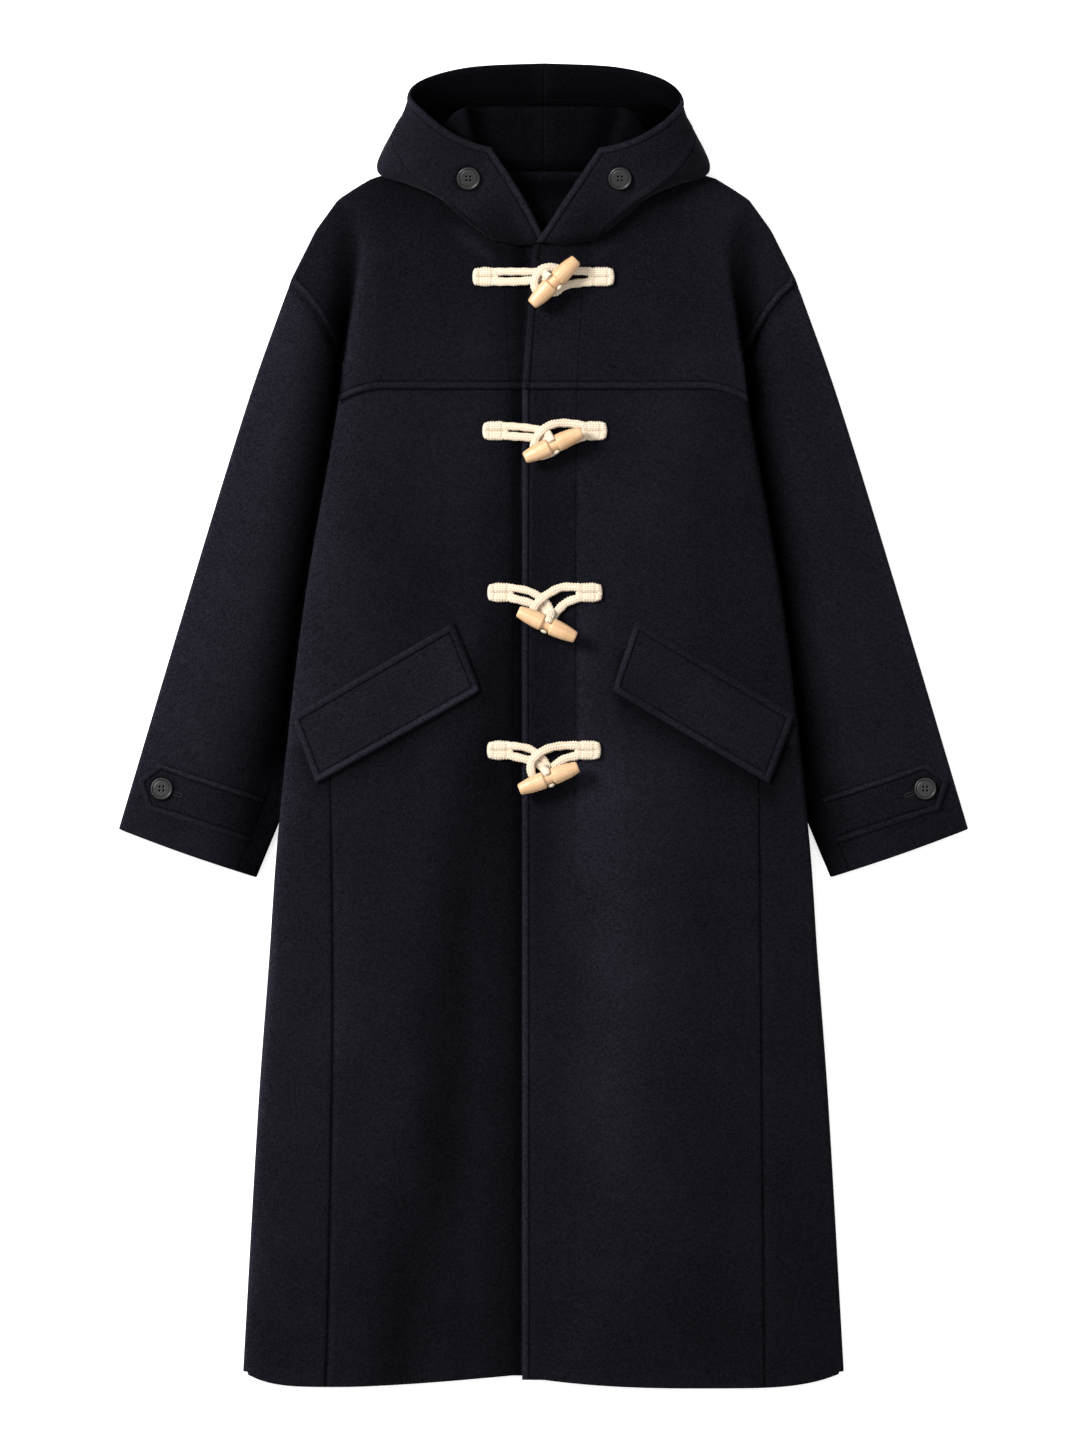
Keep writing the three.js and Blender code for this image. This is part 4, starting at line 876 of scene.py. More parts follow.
# %% Rolling round the side
def round_the_side(side, y, turn_to, turns, under):
    """x and z of the cloth past the start of the side fold: half a circle down, then flat under the
    coat to turn_to."""
    half = half_at(y)[:, None]
    y = y[:, None]
    low = under_at(half - 6, y) + CLOTH / 2
    high = front_top(side, half - 6, y) - CLOTH / 2
    r = (high - low) / 2
    centre = half - CLOTH / 2 - r
    angle = np.pi * np.linspace(0, 1, turns + 1)
    x = centre + r * np.sin(angle)
    z = (high + low) / 2 + r * np.cos(angle)
    back_x = mix(centre, turn_to[:, None], np.linspace(0, 1, under + 1)[1:])
    return np.concatenate([x, back_x], 1), np.concatenate([z, under_at(back_x, y) + CLOTH / 2], 1)


MOUTH_SIDE_Y = float(mouth_at(half_at(0)))
WRAP = (12, 8)  # grid steps round the side fold, and under the coat
UNDER_YOKE_BY = 15  # mm that a front goes on under the yoke
# The stitches of each front's facing, by x and y down the front.
FACING = {1: [(31.8, 460), (31.8, 330), (30.8, 285), (30.3, 60), (29, -80)],
          -1: [(-29.5, 460), (-29.5, 330), (-28, 285), (-29, 60), (-29, -80)]}


def seam_depth(y):
    """1 along the facing's stitches, easing to 0 where they stop, low on the coat."""
    return ease((y + 60) / 80)


# %% Fronts
def front_piece(side):
    """Rows run up the front and columns from its edge outwards. The upper rows go on past the seam's
    last point, beside and round the side."""
    name = SIDE_NAME[side]
    start = FRONT_EDGE if side > 0 else -UNDER_EDGE
    first = SEWN_EDGE if side > 0 else CUT_EDGE
    u = spaced(222, 3.6, first, BUTTED_EDGE)
    w = spaced(60, 4, BUTTED_EDGE, BUTTED_EDGE)[1:]
    v_low = spaced(650, 7, CUT_EDGE, BUTTED_EDGE)
    v_high = spaced(280, 5.5, BUTTED_EDGE, CUT_EDGE)[1:]
    low_rows = len(v_low)
    seam_y = mix(hem_at(name, SEAM_HEM_X), mouth_at(SEAM_MOUTH_X), v_low)
    seam_x = np.concatenate([SEAM_AT[side](seam_y), mix(SEAM_MOUTH_X, 176, v_high)])
    side_top_y = yoke_edge_at(190) + UNDER_YOKE_BY
    side_y = np.concatenate([mix(BODY_ENDS_Y, MOUTH_SIDE_Y, v_low), mix(MOUTH_SIDE_Y, side_top_y, v_high)])
    wrap_x, wrap_z = round_the_side(side, side_y, back_side_x(side_y) + 2.5, *WRAP)
    flat_x = mix(start, seam_x[:, None], u)
    beside_x = mix(seam_x[:, None], wrap_x[:, :1], w[:-1])
    low_x, high_x = flat_x[:low_rows], flat_x[low_rows:]
    flat_y = np.concatenate([
        mix(hem_at(name, low_x), mouth_at(low_x), v_low[:, None]),
        mix(mouth_at(high_x), yoke_edge_at(high_x) + UNDER_YOKE_BY, v_high[:, None]),
    ])
    beside_y = mix(flat_y[:, -1:], side_y[:, None], w[:-1])
    x = np.concatenate([flat_x, beside_x, wrap_x], 1)
    y = np.concatenate([flat_y, beside_y, np.repeat(side_y[:, None], wrap_x.shape[1], 1)], 1)
    z = [front_middle(side, flat_x, flat_y), front_middle(side, beside_x, beside_y), wrap_z]
    middle_surface = np.stack([side * x, y, np.concatenate(z, 1)], -1)

    # What stands up or dips: the welt of the left edge, the seam, and the facing's stitches.
    edge = lengths_along(middle_surface, 1)
    seam = edge - edge[:, [len(u) - 1]]
    facing = line_offset(side * x, y, FACING[side], sign=-side)
    rise = welt(edge) if side > 0 else np.zeros_like(edge)
    rise[:low_rows] += butted(seam[:low_rows])
    rise -= 0.35 * seam_depth(y) * bell(facing, 1.6)
    # Which stitch lines are near: low on the coat the facing's are not sewn.
    hidden = np.full_like(x, FAR)
    sewn = edge - STITCH_IN if side > 0 else hidden
    pressed = np.where(np.arange(len(x))[:, None] < low_rows, seam, hidden)
    facing = np.where((y <= -70) & (np.abs(facing) < 12), 12, facing)
    sewing = np.stack([nearest(sewn, -pressed), facing], -1)

    keep = np.ones((x.shape[0] - 1, x.shape[1] - 1), bool)
    keep[: low_rows - 1, len(u) - 1:] = False
    piece = cloth_shell(f"coat_front_{name}", middle_surface, up=side, keep=keep, rise=rise,
                        sewing=sewing, tone=body_light_and_shade(side * x, y))
    return wool(piece, f"front_{name}")


# %% Side panels
def side_panel(side):
    """The front's lower rows go on from the seam, round the side, to the side seam."""
    name = SIDE_NAME[side]
    v = spaced(650, 7, CUT_EDGE, BUTTED_EDGE)
    w = spaced(60, 4, BUTTED_EDGE, BUTTED_EDGE)[:-1]
    gap = 1.2  # mm that the panel stops short of the pocket mouth
    seam_y = mix(hem_at(name, SEAM_HEM_X), mouth_at(SEAM_MOUTH_X), v) - gap * (v == 1)
    side_y = mix(BODY_ENDS_Y, MOUTH_SIDE_Y, v) - gap * (v == 1)
    seam_x = SEAM_AT[side](seam_y) - GAP
    wrap_x, wrap_z = round_the_side(side, side_y, back_side_x(side_y) + 2.5, *WRAP)
    flat_x = mix(seam_x[:, None], wrap_x[:, :1], w)
    flat_y = mix(hem_at(name, flat_x), mix(mouth_at(SEAM_MOUTH_X), MOUTH_SIDE_Y, w) - gap, v[:, None])
    x = np.concatenate([flat_x, wrap_x], 1)
    y = np.concatenate([flat_y, np.repeat(side_y[:, None], wrap_x.shape[1], 1)], 1)
    z = np.concatenate([front_middle(side, flat_x, flat_y), wrap_z], 1)
    middle_surface = np.stack([side * x, y, z], -1)
    seam = lengths_along(middle_surface, 1)
    sewing = np.stack([seam, np.full_like(seam, FAR)], -1)
    piece = cloth_shell(f"coat_side_{name}", middle_surface, up=side, rise=butted(seam), sewing=sewing,
                        tone=body_light_and_shade(side * x, y))
    return wool(piece, f"side_panel_{name}")


for make in (front_piece, side_panel):
    for side in SIDE_NAME:
        make(side)

# %% [markdown]
# ## Yokes
#
# The yoke is the doubled piece over the shoulder. Its lower edge laps over the front and is stitched
# 7 mm in, and so is the edge along the armhole, so both stand up as ridges. Its outline has four curved
# sides, so the grid is a Coons patch: the blend of opposite sides, less the blend of the corners.
# Past the shoulder's edge the cloth turns under.

# %% Outline of a yoke
SHOULDER = np.array([(88, 529), (125, 530), (163, 518.5), (178, 509.5), (194, 499), (215, 470),
                     (238.6, 422.8)], float)
NECKLINE = np.array([(43, 459), (74, 478), (87, 503), (88, 529)], float)
NECK_PART = 0.42  # share of the columns that end at the neck
YOKE_FACING = [(44, 460), (36.6, 412), (33.7, 357), (31.8, 320)]  # the stitches of its facing


def yoke_top(side, x, y):
    """Height of the yoke's outer face: it rises over the front's upper edge, and drops off the roll
    into the armhole."""
    over = (CLOTH + GAP + 0.6) * (1 - ease((y - 343) / 26))
    low = FLAT + np.hypot(sleeve_lift(x, y), neck_lift(x, y))
    down = 1 - ease((x - crest_x(y)) / 9) * ease((y - 332) / 20)
    return low + (front_top(side, x, y) - low + over) * down


CREASES = [((-84, 473), (-42, 438), 2.42), ((70, 457), (44, 439), 1.32)]  # from, to, height in mm
HOOD_EDGE = [(-157, 525), (-134, 517), (-103, 504), (-66, 474), (-50, 464), (-27, 458), (-2, 462),
             (27, 458), (50, 464), (66, 474), (103, 504), (134, 517), (157, 525)]


def crease(x, y):
    """Height of the short folds below the neck: a bell across each, eased out at both its ends."""
    z = 0.0
    for start, end, high in CREASES:
        (x0, y0), (x1, y1) = start, end
        t = ((x - x0) * (x1 - x0) + (y - y0) * (y1 - y0)) / ((x1 - x0) ** 2 + (y1 - y0) ** 2)
        ends = ease((t + 0.2) / 0.4) * ease((1.15 - t) / 0.5)
        z = z + high * bell(beyond(x, y, start, end), 7) * ends
    return z


def crease_light_and_shade(x, y):
    """Painted highlight on the crowns of those folds, and painted shadow along the edge of the hood."""
    from_hood = np.abs(line_offset(x, y, HOOD_EDGE))
    deep = 0.35 + np.where(x < 0, 0.95, 0.6) * bell(np.abs(x) - 105, 45)
    return 0.3 * crease(x, y) - deep * np.exp(-from_hood / np.where(x < 0, 28, 15))


# %% Yokes
def turned_under(x, y, z, at_shoulder):
    """The edge along the shoulder: rows of half a circle under, then a little way in; and the way
    inwards times the circle's radius, at each point of the edge. at_shoulder is 0 along the neck,
    where nothing turns."""
    rim = np.stack([x, y, z], -1)
    way = np.gradient(rim[:, :2], axis=0)
    way /= np.linalg.norm(way, axis=1, keepdims=True)
    inward = np.stack([way[:, 1], -way[:, 0]], -1)
    low = under_at(x, y) + CLOTH / 2
    r = ((z - low) / 2)[:, None] * at_shoulder
    centre = rim[:, :2] + inward * r
    rows = []
    for a in np.pi * np.linspace(0, 1, 9)[1:]:
        rows.append(np.concatenate([centre - inward * r * np.sin(a), rim[:, 2:] - r + r * np.cos(a)], 1))
    for on in (3, 7):
        rows.append(np.concatenate([centre + inward * on * at_shoulder, rim[:, 2:] - 2 * r], 1))
    return np.stack(rows), inward * r


def yoke_piece(side):
    """Rows run up from the lower edge to the neck and shoulder, columns from the front edge to the
    armhole."""
    name = SIDE_NAME[side]
    start = FRONT_EDGE if side > 0 else -UNDER_EDGE
    neck_start = np.array([-10.0 if side > 0 else -20.0, 457.0])
    u = spaced(208, 3.2, SEWN_EDGE if side > 0 else CUT_EDGE, SEWN_EDGE)
    tall = 150  # mm of a yoke, about
    v = spaced(tall, 3.2, SEWN_EDGE, CUT_EDGE)
    bottom_x = mix(start, 195.0, u)
    bottom = np.stack([bottom_x, yoke_edge_at(bottom_x)], -1)
    neck = along_line(np.concatenate([[neck_start], NECKLINE]), u / NECK_PART)
    shoulder = along_line(SHOULDER, (u - NECK_PART) / (1 - NECK_PART))
    top = np.where((u < NECK_PART)[:, None], neck, shoulder)
    hole = armhole_rows(GAP)
    hole = hole[hole[:, 1] > 353]
    right = along_line(np.concatenate([[bottom[-1], (190.8, 352)], hole, [top[-1]]]), v)
    left = mix(np.array([start, YOKE_EDGE]), neck_start, v[:, None])
    uu, vv = u[None, :, None], v[:, None, None]
    plan = (mix(bottom[None], top[None], vv) + mix(left[:, None], right[:, None], uu)
            - mix(mix(bottom[0], bottom[-1], uu), mix(top[0], top[-1], uu), vv))
    x, y = plan[..., 0], plan[..., 1]
    z = yoke_top(side, x, y) - CLOTH / 2 - lap_drop(side, x) + crease(side * x, y)
    turned, moved = turned_under(x[-1], y[-1], z[-1], ease((u - NECK_PART) / 0.05)[:, None])
    # The last rows before the fold lean inwards with it.
    near_fold = (1 - ease((1 - v) * tall / 12))[:, None, None]
    body = np.stack([x, y, z], -1) + near_fold * np.pad(moved, [(0, 0), (0, 1)])[None]
    rows = np.concatenate([body, turned])
    rows[..., 0] *= side
    x, y = rows[..., 0], rows[..., 1]

    # What stands up: the stitched lower edge, armhole and, on the left, front edge.
    n = len(v)
    from_front, from_low = lengths_along(rows, 1), lengths_along(rows, 0)
    from_hole = from_front[:, -1:] - from_front
    hole_part = ease((y - 350) / 8)
    rise = welt(from_low) + welt(from_hole) * hole_part + (welt(from_front) if side > 0 else 0)
    edges = nearest(from_low - STITCH_IN, np.where(y > 354, from_hole - STITCH_IN, FAR))
    front_edge = from_front - STITCH_IN if side > 0 else np.full_like(from_front, FAR)
    across = nearest(front_edge, line_offset(x, y, [(side * a, b) for a, b in YOKE_FACING], sign=-side))
    rise[n:] = 0
    edges[n:] = across[n:] = FAR
    keep = np.ones((rows.shape[0] - 1, rows.shape[1] - 1), bool)
    keep[n - 1:, u[:-1] < NECK_PART] = False
    # Painted light and shade of the yoke, with a painted highlight on the armhole's welt.
    tone = yoke_light_and_shade(x, y) + crease_light_and_shade(x, y) + 0.5 * bell(from_hole - 3.2, 3) * hole_part
    piece = cloth_shell(f"coat_yoke_{name}", rows, up=side, keep=keep, rise=rise,
                        sewing=np.stack([edges, across], -1), tone=tone)
    return wool(piece, f"yoke_{name}")


for side in SIDE_NAME:
    yoke_piece(side)

# %% [markdown]
# ## Sleeves
#
# A laid sleeve is a flattened tube of two pieces. The top piece covers the front face and rolls over
# the outer fold. The under piece makes the rest and comes round the inner fold to a seam on the
# front face. Where the body presses on the sleeve it is flatter.

# %% Sleeves
UNDER_YOKE = np.array([-2.2, 5.6])  # how far a sleeve goes on below the yoke's edge, in x and y


def sleeve_middle(at, c, face, out):
    """Middle surface of a sleeve: at runs from cuff to armhole, c from the inner fold to the outer
    one, face is the height round the fold from -1 to 1, out how far round the fold's outside."""
    end = armhole_at(1 - c, -GAP) + UNDER_YOKE
    straight = mix(UNDERARM, SHOULDER_TIP, c[..., None])
    x = mix(inner_x(at), outer_x(at), c) + (end[..., 0] - straight[..., 0]) * at**7
    y = mix(inner_y(at), outer_y(at), c) + (end[..., 1] - straight[..., 1]) * at**7
    tall = mix(SLEEVE_LOW, SLEEVE_HIGH, ease((x - half_at(np.minimum(y, 380)) - 2) / 34))
    r = (tall - CLOTH) / 2
    dx, dy = outer_x(at) - inner_x(at), outer_y(at) - inner_y(at)
    long = np.hypot(dx, dy)
    y = y - 1.4 * np.sin(np.pi * c) * np.clip(1 - at * 12, 0, 1)  # the cuff's hem bows down
    outward = np.where(c > 0.5, 1, -1)
    folded = (c == 0) | (c == 1)
    move = outward * (r * out - np.where(folded, r + CLOTH / 2, 0))
    # The upper face is fuller than a flat tube, and dips under the yoke at its end.
    full = 2.6 * ease((x - half_at(np.minimum(y, 380)) - 4) / 45) * ease((1 - c) / 0.25)
    dip = 3.2 * ease((at - 0.965) / 0.03)
    z = r + CLOTH / 2 + face * r + (face > 0) * face * full - dip * (face > 0)
    return np.stack([x + move * dx / long, y + move * dy / long, z], -1)


SLEEVE_SEAM = 0.14  # place of the seam across the sleeve
CUFF_STITCHES = 24.0  # mm in from the cuff's edge


def sleeve_columns(which):
    """Where the columns of a piece lie, as c, face and out of sleeve_middle: over a face, round a
    fold, and over or under the next one."""
    turn = np.linspace(0, 1, 12)[1:-1] * np.pi
    if which == "top":
        from_seam = spaced(116, 4, BUTTED_EDGE, CUT_EDGE[1:])
        runs = [(mix(SLEEVE_SEAM - 0.002, 0.97, from_seam), 1, 0),
                (np.ones(10), np.cos(turn), np.sin(turn)),
                (np.linspace(0.97, 0.8, 8), -1, 0)]
    else:
        to_seam = spaced(22, 3, CUT_EDGE[1:], BUTTED_EDGE)
        runs = [(np.linspace(0.798, 0.03, 26), -1, 0),
                (np.zeros(10), -np.cos(turn), np.sin(turn)),
                (mix(0.03, SLEEVE_SEAM + 0.002, to_seam), 1, 0)]
    return [np.concatenate([np.broadcast_to(run[k], len(run[0])) for run in runs]).astype(float)
            for k in range(3)]


def sleeve_piece(side, which):
    """Rows run from the cuff to the armhole, columns across the face and round the folds."""
    name = SIDE_NAME[side]
    at = spaced(560, 6, CUT_EDGE, CUT_EDGE)
    c, face, out = (values[None] for values in sleeve_columns(which))
    middle_surface = sleeve_middle(*np.broadcast_arrays(at[:, None], c, face, out))
    middle_surface[..., 0] *= side
    across = lengths_along(middle_surface, 1)
    seam = across if which == "top" else across[:, -1:] - across
    cuff = lengths_along(middle_surface, 0)
    rise = butted(seam) - 0.3 * bell(cuff - CUFF_STITCHES, 1.5)
    sewing = np.stack([seam, np.hypot(cuff - CUFF_STITCHES, 0.4)], -1)

    # Painted light and shade: paler on the wearer's right and towards the outer fold, painted shade by
    # the hem outside and where the yoke lies over the sleeve, and the body's painted shadow beside it.
    outer = ease((c - 0.45) / 0.5) * (face > -0.5)
    plain = 0.3 + 0.28 * outer if side < 0 else 0.05 + 0.07 * outer
    by_hem = -0.4 * ease((75 - cuff) / 50) * ease((c - 0.4) / 0.3) * (face > 0)
    beside_yoke = -0.9 * bell(cuff[-1:] - cuff - 8, 3.5) * (face > 0)
    fold_light = 0.3 * bell((1 - c) * 116, 7) * (face > -0.5)
    shadow = side_shadow(middle_surface[..., 0], middle_surface[..., 1])
    piece = cloth_shell(f"sleeve_{which}_{name}_cloth", middle_surface, up=-side, rise=rise, sewing=sewing,
                        tone=plain + by_hem + shadow + beside_yoke + fold_light)
    return wool(piece, f"sleeve_{which}_{name}")


for side in SIDE_NAME:
    for which in ("top", "under"):
        sleeve_piece(side, which)

# %% [markdown]
# ## Pocket flaps and cuff straps
#
# Both are faced pieces, two layers thick, turned and stitched 7 mm inside the edge. The stitches pull
# the middle down and leave a soft rounded border, which is what makes them read as thick wool.

# %% Faced pieces
FACED = 3.6  # mm of two layers of wool


def border(p, side):
    """Distance from each point to the named side, measured along the surface. Rows run down from the
    high side."""
    if side in ("left", "right"):
        across = lengths_along(p, 1)
        return across if side == "left" else across[:, -1:] - across
    down = lengths_along(p, 0)
    return down if side == "high" else down[-1:] - down


def pocket_flap(side):
    """Rows run down from the pocket mouth, columns outwards."""
    name = SIDE_NAME[side]
    a, b, c, d = (np.array(q, float) for q in FLAP[side])
    wide, tall = 172, 70
    u = spaced(wide, 4, SEWN_EDGE, SEWN_EDGE)[None, :, None]
    v = spaced(tall, 4, SEWN_EDGE, SEWN_EDGE)[:, None, None]
    # The lower corner towards the middle is rounder than the rest.
    corner = np.clip(1 - np.hypot(u * wide, (1 - v) * tall) / 12, 0, 1) ** 1.6
    plan = mix(mix(a, b, u), mix(d, c, u), v) + corner * (b - d) / np.linalg.norm(b - d) * 1.8
    x, y = plan[..., 0], plan[..., 1]
    lying = front_top(side, np.minimum(x, half_at(y) - 8), y) + 0.9
    middle_surface = np.stack([side * x, y, lying + FACED / 2], -1)
    inside = np.min([border(middle_surface, which) for which in ("left", "right", "high", "low")], axis=0)
    sewing = np.stack([inside - STITCH_IN, np.full_like(inside, FAR)], -1)
    # Painted light and shade of the flap: the one on the wearer's right is painted paler, and its borders get
    # painted highlights or painted shade.
    high, low, beside = (bell(border(middle_surface, which) - 3, 4.5) for which in ("high", "low", "left"))
    right = 0.36 - 0.15 * high + 0.55 * low - 0.7 * beside * (1 - low)
    left = 0.5 * beside - 0.3 * high
    piece = cloth_shell(f"pocket_flap_{name}_cloth", middle_surface, up=-side, half=FACED / 2,
                        rise=welt(inside), sewing=sewing, tone=right if side < 0 else left)
    return wool(piece, f"pocket_flap_{name}")


# %% Cuff straps
SLIT = [(343, -66), (351.5, -62.9)]  # the buttonhole, half of it under the button
CUFF_BUTTON_AT, HOOD_BUTTON_AT = (362, -59), (73.2, 518.7)
POINT_AT = 0.38  # place of the strap's point, as a share of the way across it


def under_button(x, y, at):
    """1 under a button, easing to 0 round it: the cloth is out of the light there."""
    return 1 - ease((np.hypot(np.abs(x) - at[0], y - at[1]) - 10) / 4)


def cuff_strap(side):
    """Columns run along the strap from the sleeve seam to its pointed end, rows across it."""
    name = SIDE_NAME[side]
    inner_high, outer_high = np.array([263.9, -66.8]), np.array([362.4, -34.6])
    inner_low, outer_low = np.array([278.3, -111.7]), np.array([375.0, -79.5])
    tip = np.array([384.8, -50.7])
    long, wide = 104, 47
    u = spaced(long, 3.5, CUT_EDGE, SEWN_EDGE)[None, :, None]
    v = spaced(wide, 3, SEWN_EDGE, SEWN_EDGE)[:, None, None]
    point = tip - mix(outer_high, outer_low, POINT_AT)
    reach = 1 - np.abs(v - POINT_AT) / np.where(v < POINT_AT, POINT_AT, 1 - POINT_AT)
    plan = mix(mix(inner_high, outer_high, u), mix(inner_low, outer_low, u), v)
    plan = plan + point * reach * ease((u - 0.55) / 0.45) ** 1.5
    # Its inner end goes down into the sleeve's seam.
    z = SLEEVE_HIGH + GAP + FACED / 2 - 2.7 * ease((8 - long * u) / 8)
    middle_surface = np.concatenate([plan, np.broadcast_to(z, plan[..., :1].shape)], -1)
    middle_surface[..., 0] *= side
    x, y = middle_surface[..., 0], middle_surface[..., 1]
    inside = np.min([border(middle_surface, which) for which in ("right", "high", "low")], axis=0)
    slit = line_offset(x, y, [(side * a, b) for a, b in SLIT])
    # Painted light and shade: a painted highlight inside its upper edge and painted shade at the very
    # edge, where it turns down; painted shadow under the button and beside the body; and the strap on
    # the wearer's right a little lighter.
    from_high = border(middle_surface, "high")
    edge = 0.55 * bell(from_high - 3.2, 2.4) - 2.4 * np.exp(-from_high / 0.8)
    plain = side_shadow(x, y) + (0.1 if side < 0 else -0.1)
    piece = cloth_shell(f"cuff_strap_{name}_cloth", middle_surface, up=-side, half=FACED / 2,
                        rise=welt(inside), sewing=np.stack([inside - STITCH_IN, slit], -1),
                        tone=plain - 0.9 * under_button(x, y, CUFF_BUTTON_AT) + edge)
    return wool(piece, f"cuff_strap_{name}")


for make in (pocket_flap, cuff_strap):
    for side in SIDE_NAME:
        make(side)

# %% [markdown]
# ## Hood
#
# The hood lies open behind the neck. A wide band runs round its opening, from one side of the throat
# over the back to the other. From the band's seam the side goes out and down to the fold that
# makes the outline, turns under and comes back up inside as a stand round the neck. Ten
# sections, from the middle of the back to the throat, say where those lines lie. Smooth curves join
# them, and the corners of each section are softened the way thick wool refuses a sharp crease.

# %% Sections of the hood
# Of each section: rim, band seam, outer fold, tuck; foot and ridge of the stand, neck edge.
HOOD = np.array([
    ((0, 626, 60), (0, 595, 25), (0, 586, 1.3), (0, 479, 3.2),
     (0, 578, 5), (0, 587, 41), (0, 517, 10.9)),
    ((68, 622.5, 61), (64, 594, 26), (60, 586, 1.3), (48, 484, 3.2),
     (56, 577, 5), (56, 587, 42), (44, 517, 10.9)),
    ((112, 611, 62), (110, 590, 29), (102, 582, 1.3), (58, 508, 3.1),
     (78, 570, 5), (80, 584, 42), (72, 520, 12.5)),
    ((129.5, 590, 62), (133, 575, 36), (138, 562, 3), (104, 552, 4.5),
     (102, 556, 8), (95, 566, 33), (90, 527, 18.1)),
    ((119.5, 574, 60), (142.5, 556.5, 38), (152, 546, 11.5), (124, 545, 12),
     (114, 546, 15), (103, 546, 22), (90, 519, 18.1)),
    ((98, 559, 54), (130, 530, 36), (157, 525, 14.7), (130, 522, 12.8),
     (115, 520, 14.8), (102, 517, 17), (88, 508, 18.2)),
    ((74, 552, 46), (107, 509.5, 30), (128, 515, 15), (116, 507, 13.9),
     (104, 503, 15.6), (94, 500, 17.2), (83, 495, 18.1)),
    ((56, 547, 39), (87, 496.5, 25), (100, 503, 16), (98, 496, 15.1),
     (90, 491, 16.2), (83, 487, 17.2), (74, 481, 17.8)),
    ((27, 505, 31), (69, 481, 23.5), (82, 487.5, 17.2), (76, 481, 15.4),
     (70, 477, 15.8), (62, 472.5, 16), (54, 467, 16.2)),
    ((-2, 463, 22), (50, 464, 21.5), (66, 474, 17), (59, 468, 14.9),
     (51, 464, 15), (42, 462.5, 15), (33, 462, 15)),
], float)
RIM, BAND_SEAM, FOLD, TUCK, FOOT, RIDGE, NECK_EDGE = range(7)
CORNER = 7  # the section at the collar's corner
# The opening does not lie quite evenly: the rim of each half, from section 3 to the throat.
RIM_LAID = {
    1: [(129.7, 593.5, 62), (118, 576, 60), (96, 560.8, 54), (74.5, 552, 46), (52.5, 547.4, 39),
        (23.5, 505, 31), (-7, 459, 23)],
    -1: [(125.5, 596.5, 62), (110, 579, 60), (89.5, 563, 54), (69, 553, 46), (49.3, 547.6, 39),
         (21, 505, 29), (-4, 459, 16)],
}


def hood_lines(side, s):
    """The seven lines at sections s: Catmull-Rom curves, but with a corner in the rim at the collar."""
    lines = spline(HOOD.reshape(len(HOOD), -1), s).reshape(len(s), 7, 3)
    rim = np.concatenate([HOOD[:3, RIM], RIM_LAID[side]])
    after = (s >= CORNER)[:, None]
    lines[:, RIM] = np.where(after, spline(rim[CORNER:], s - CORNER), spline(rim[: CORNER + 1], s))
    # The halves meet at the middle of the back; at the throat the right one passes under the left.
    lines[..., 0] = np.maximum(lines[..., 0], np.where(s[:, None] < 0.05, -GAP, -10))
    return lines


LAST = len(HOOD) - 1  # the section at the throat
SECTIONS = LAST * spaced(620, 4)  # section numbers of the rows, along 620 mm


def onward(s, start, over):
    """A column easing from 0 to 1 along the hood, from section start on."""
    return ease((s - start) / over)[:, None]


# %% Hood band
def band_middle(lines, t):
    """Points t of the way from the rim to the seam, rounded up by half a sine."""
    p = mix(lines[:, None, RIM], lines[:, None, BAND_SEAM], t[None, :, None])
    p[..., 2] += 2.5 * np.sin(np.pi * t)
    return p


def sewn_at_neck(p, s, side):
    """Over its last centimetres the hood curves down to the neck seam: its end sags forward by half a
    sine across it, and its height eases to the top of the yoke."""
    end = ease((s - 8.2) / 0.8)[:, None]
    across = np.clip((p[..., 0] + 2) / 56, 0, 1)
    p[..., 1] -= 5 * np.sin(np.pi * across) * end
    yoke = yoke_top(side, np.abs(p[..., 0]), p[..., 1]) + CLOTH / 2
    down = ease((s - 8.55) / 0.45)[:, None] ** 2
    # At the throat the right half lies under the left one.
    by_throat = ease((16 - p[..., 0]) / 14) * (1.6 if side > 0 else -LAP_DROP)
    p[..., 2] = mix(p[..., 2], np.minimum(p[..., 2], yoke) + by_throat, down)
    return p


def band_light_and_shade(p, s, side, rim):
    """Painted light and shade of the band, in stops, by section s and distance from its rim. It is painted
    paler from the turn at the shoulder on, most of all by the rim, and dark near the throat; the left
    half is painted pale by its seam in between. At the turn it gets a painted highlight, and under the
    button painted shadow."""
    right = side < 0
    shoulder = (0.25 if right else 0.05) * onward(s, 3, 2)
    throat = (0.95 if right else 0.6) * onward(s, 7.4, 1.2) * ease((rim - 8) / 22)
    middle_part = onward(s, 3.6, 1) * onward(-s, -7.8, 1.2)
    by_seam = (0 if right else 0.25) * ease((rim - 22) / 20) * middle_part
    by_rim = 0.3 * bell(rim - 3, 4) * onward(s, 5, 1.5)
    turn = 0.8 * bell(s - 3.1, 0.7)[:, None] * bell(rim - 6, 12)
    shade = 0.9 * under_button(p[..., 0], p[..., 1], HOOD_BUTTON_AT)
    return shoulder - throat + by_seam + by_rim + turn - shade


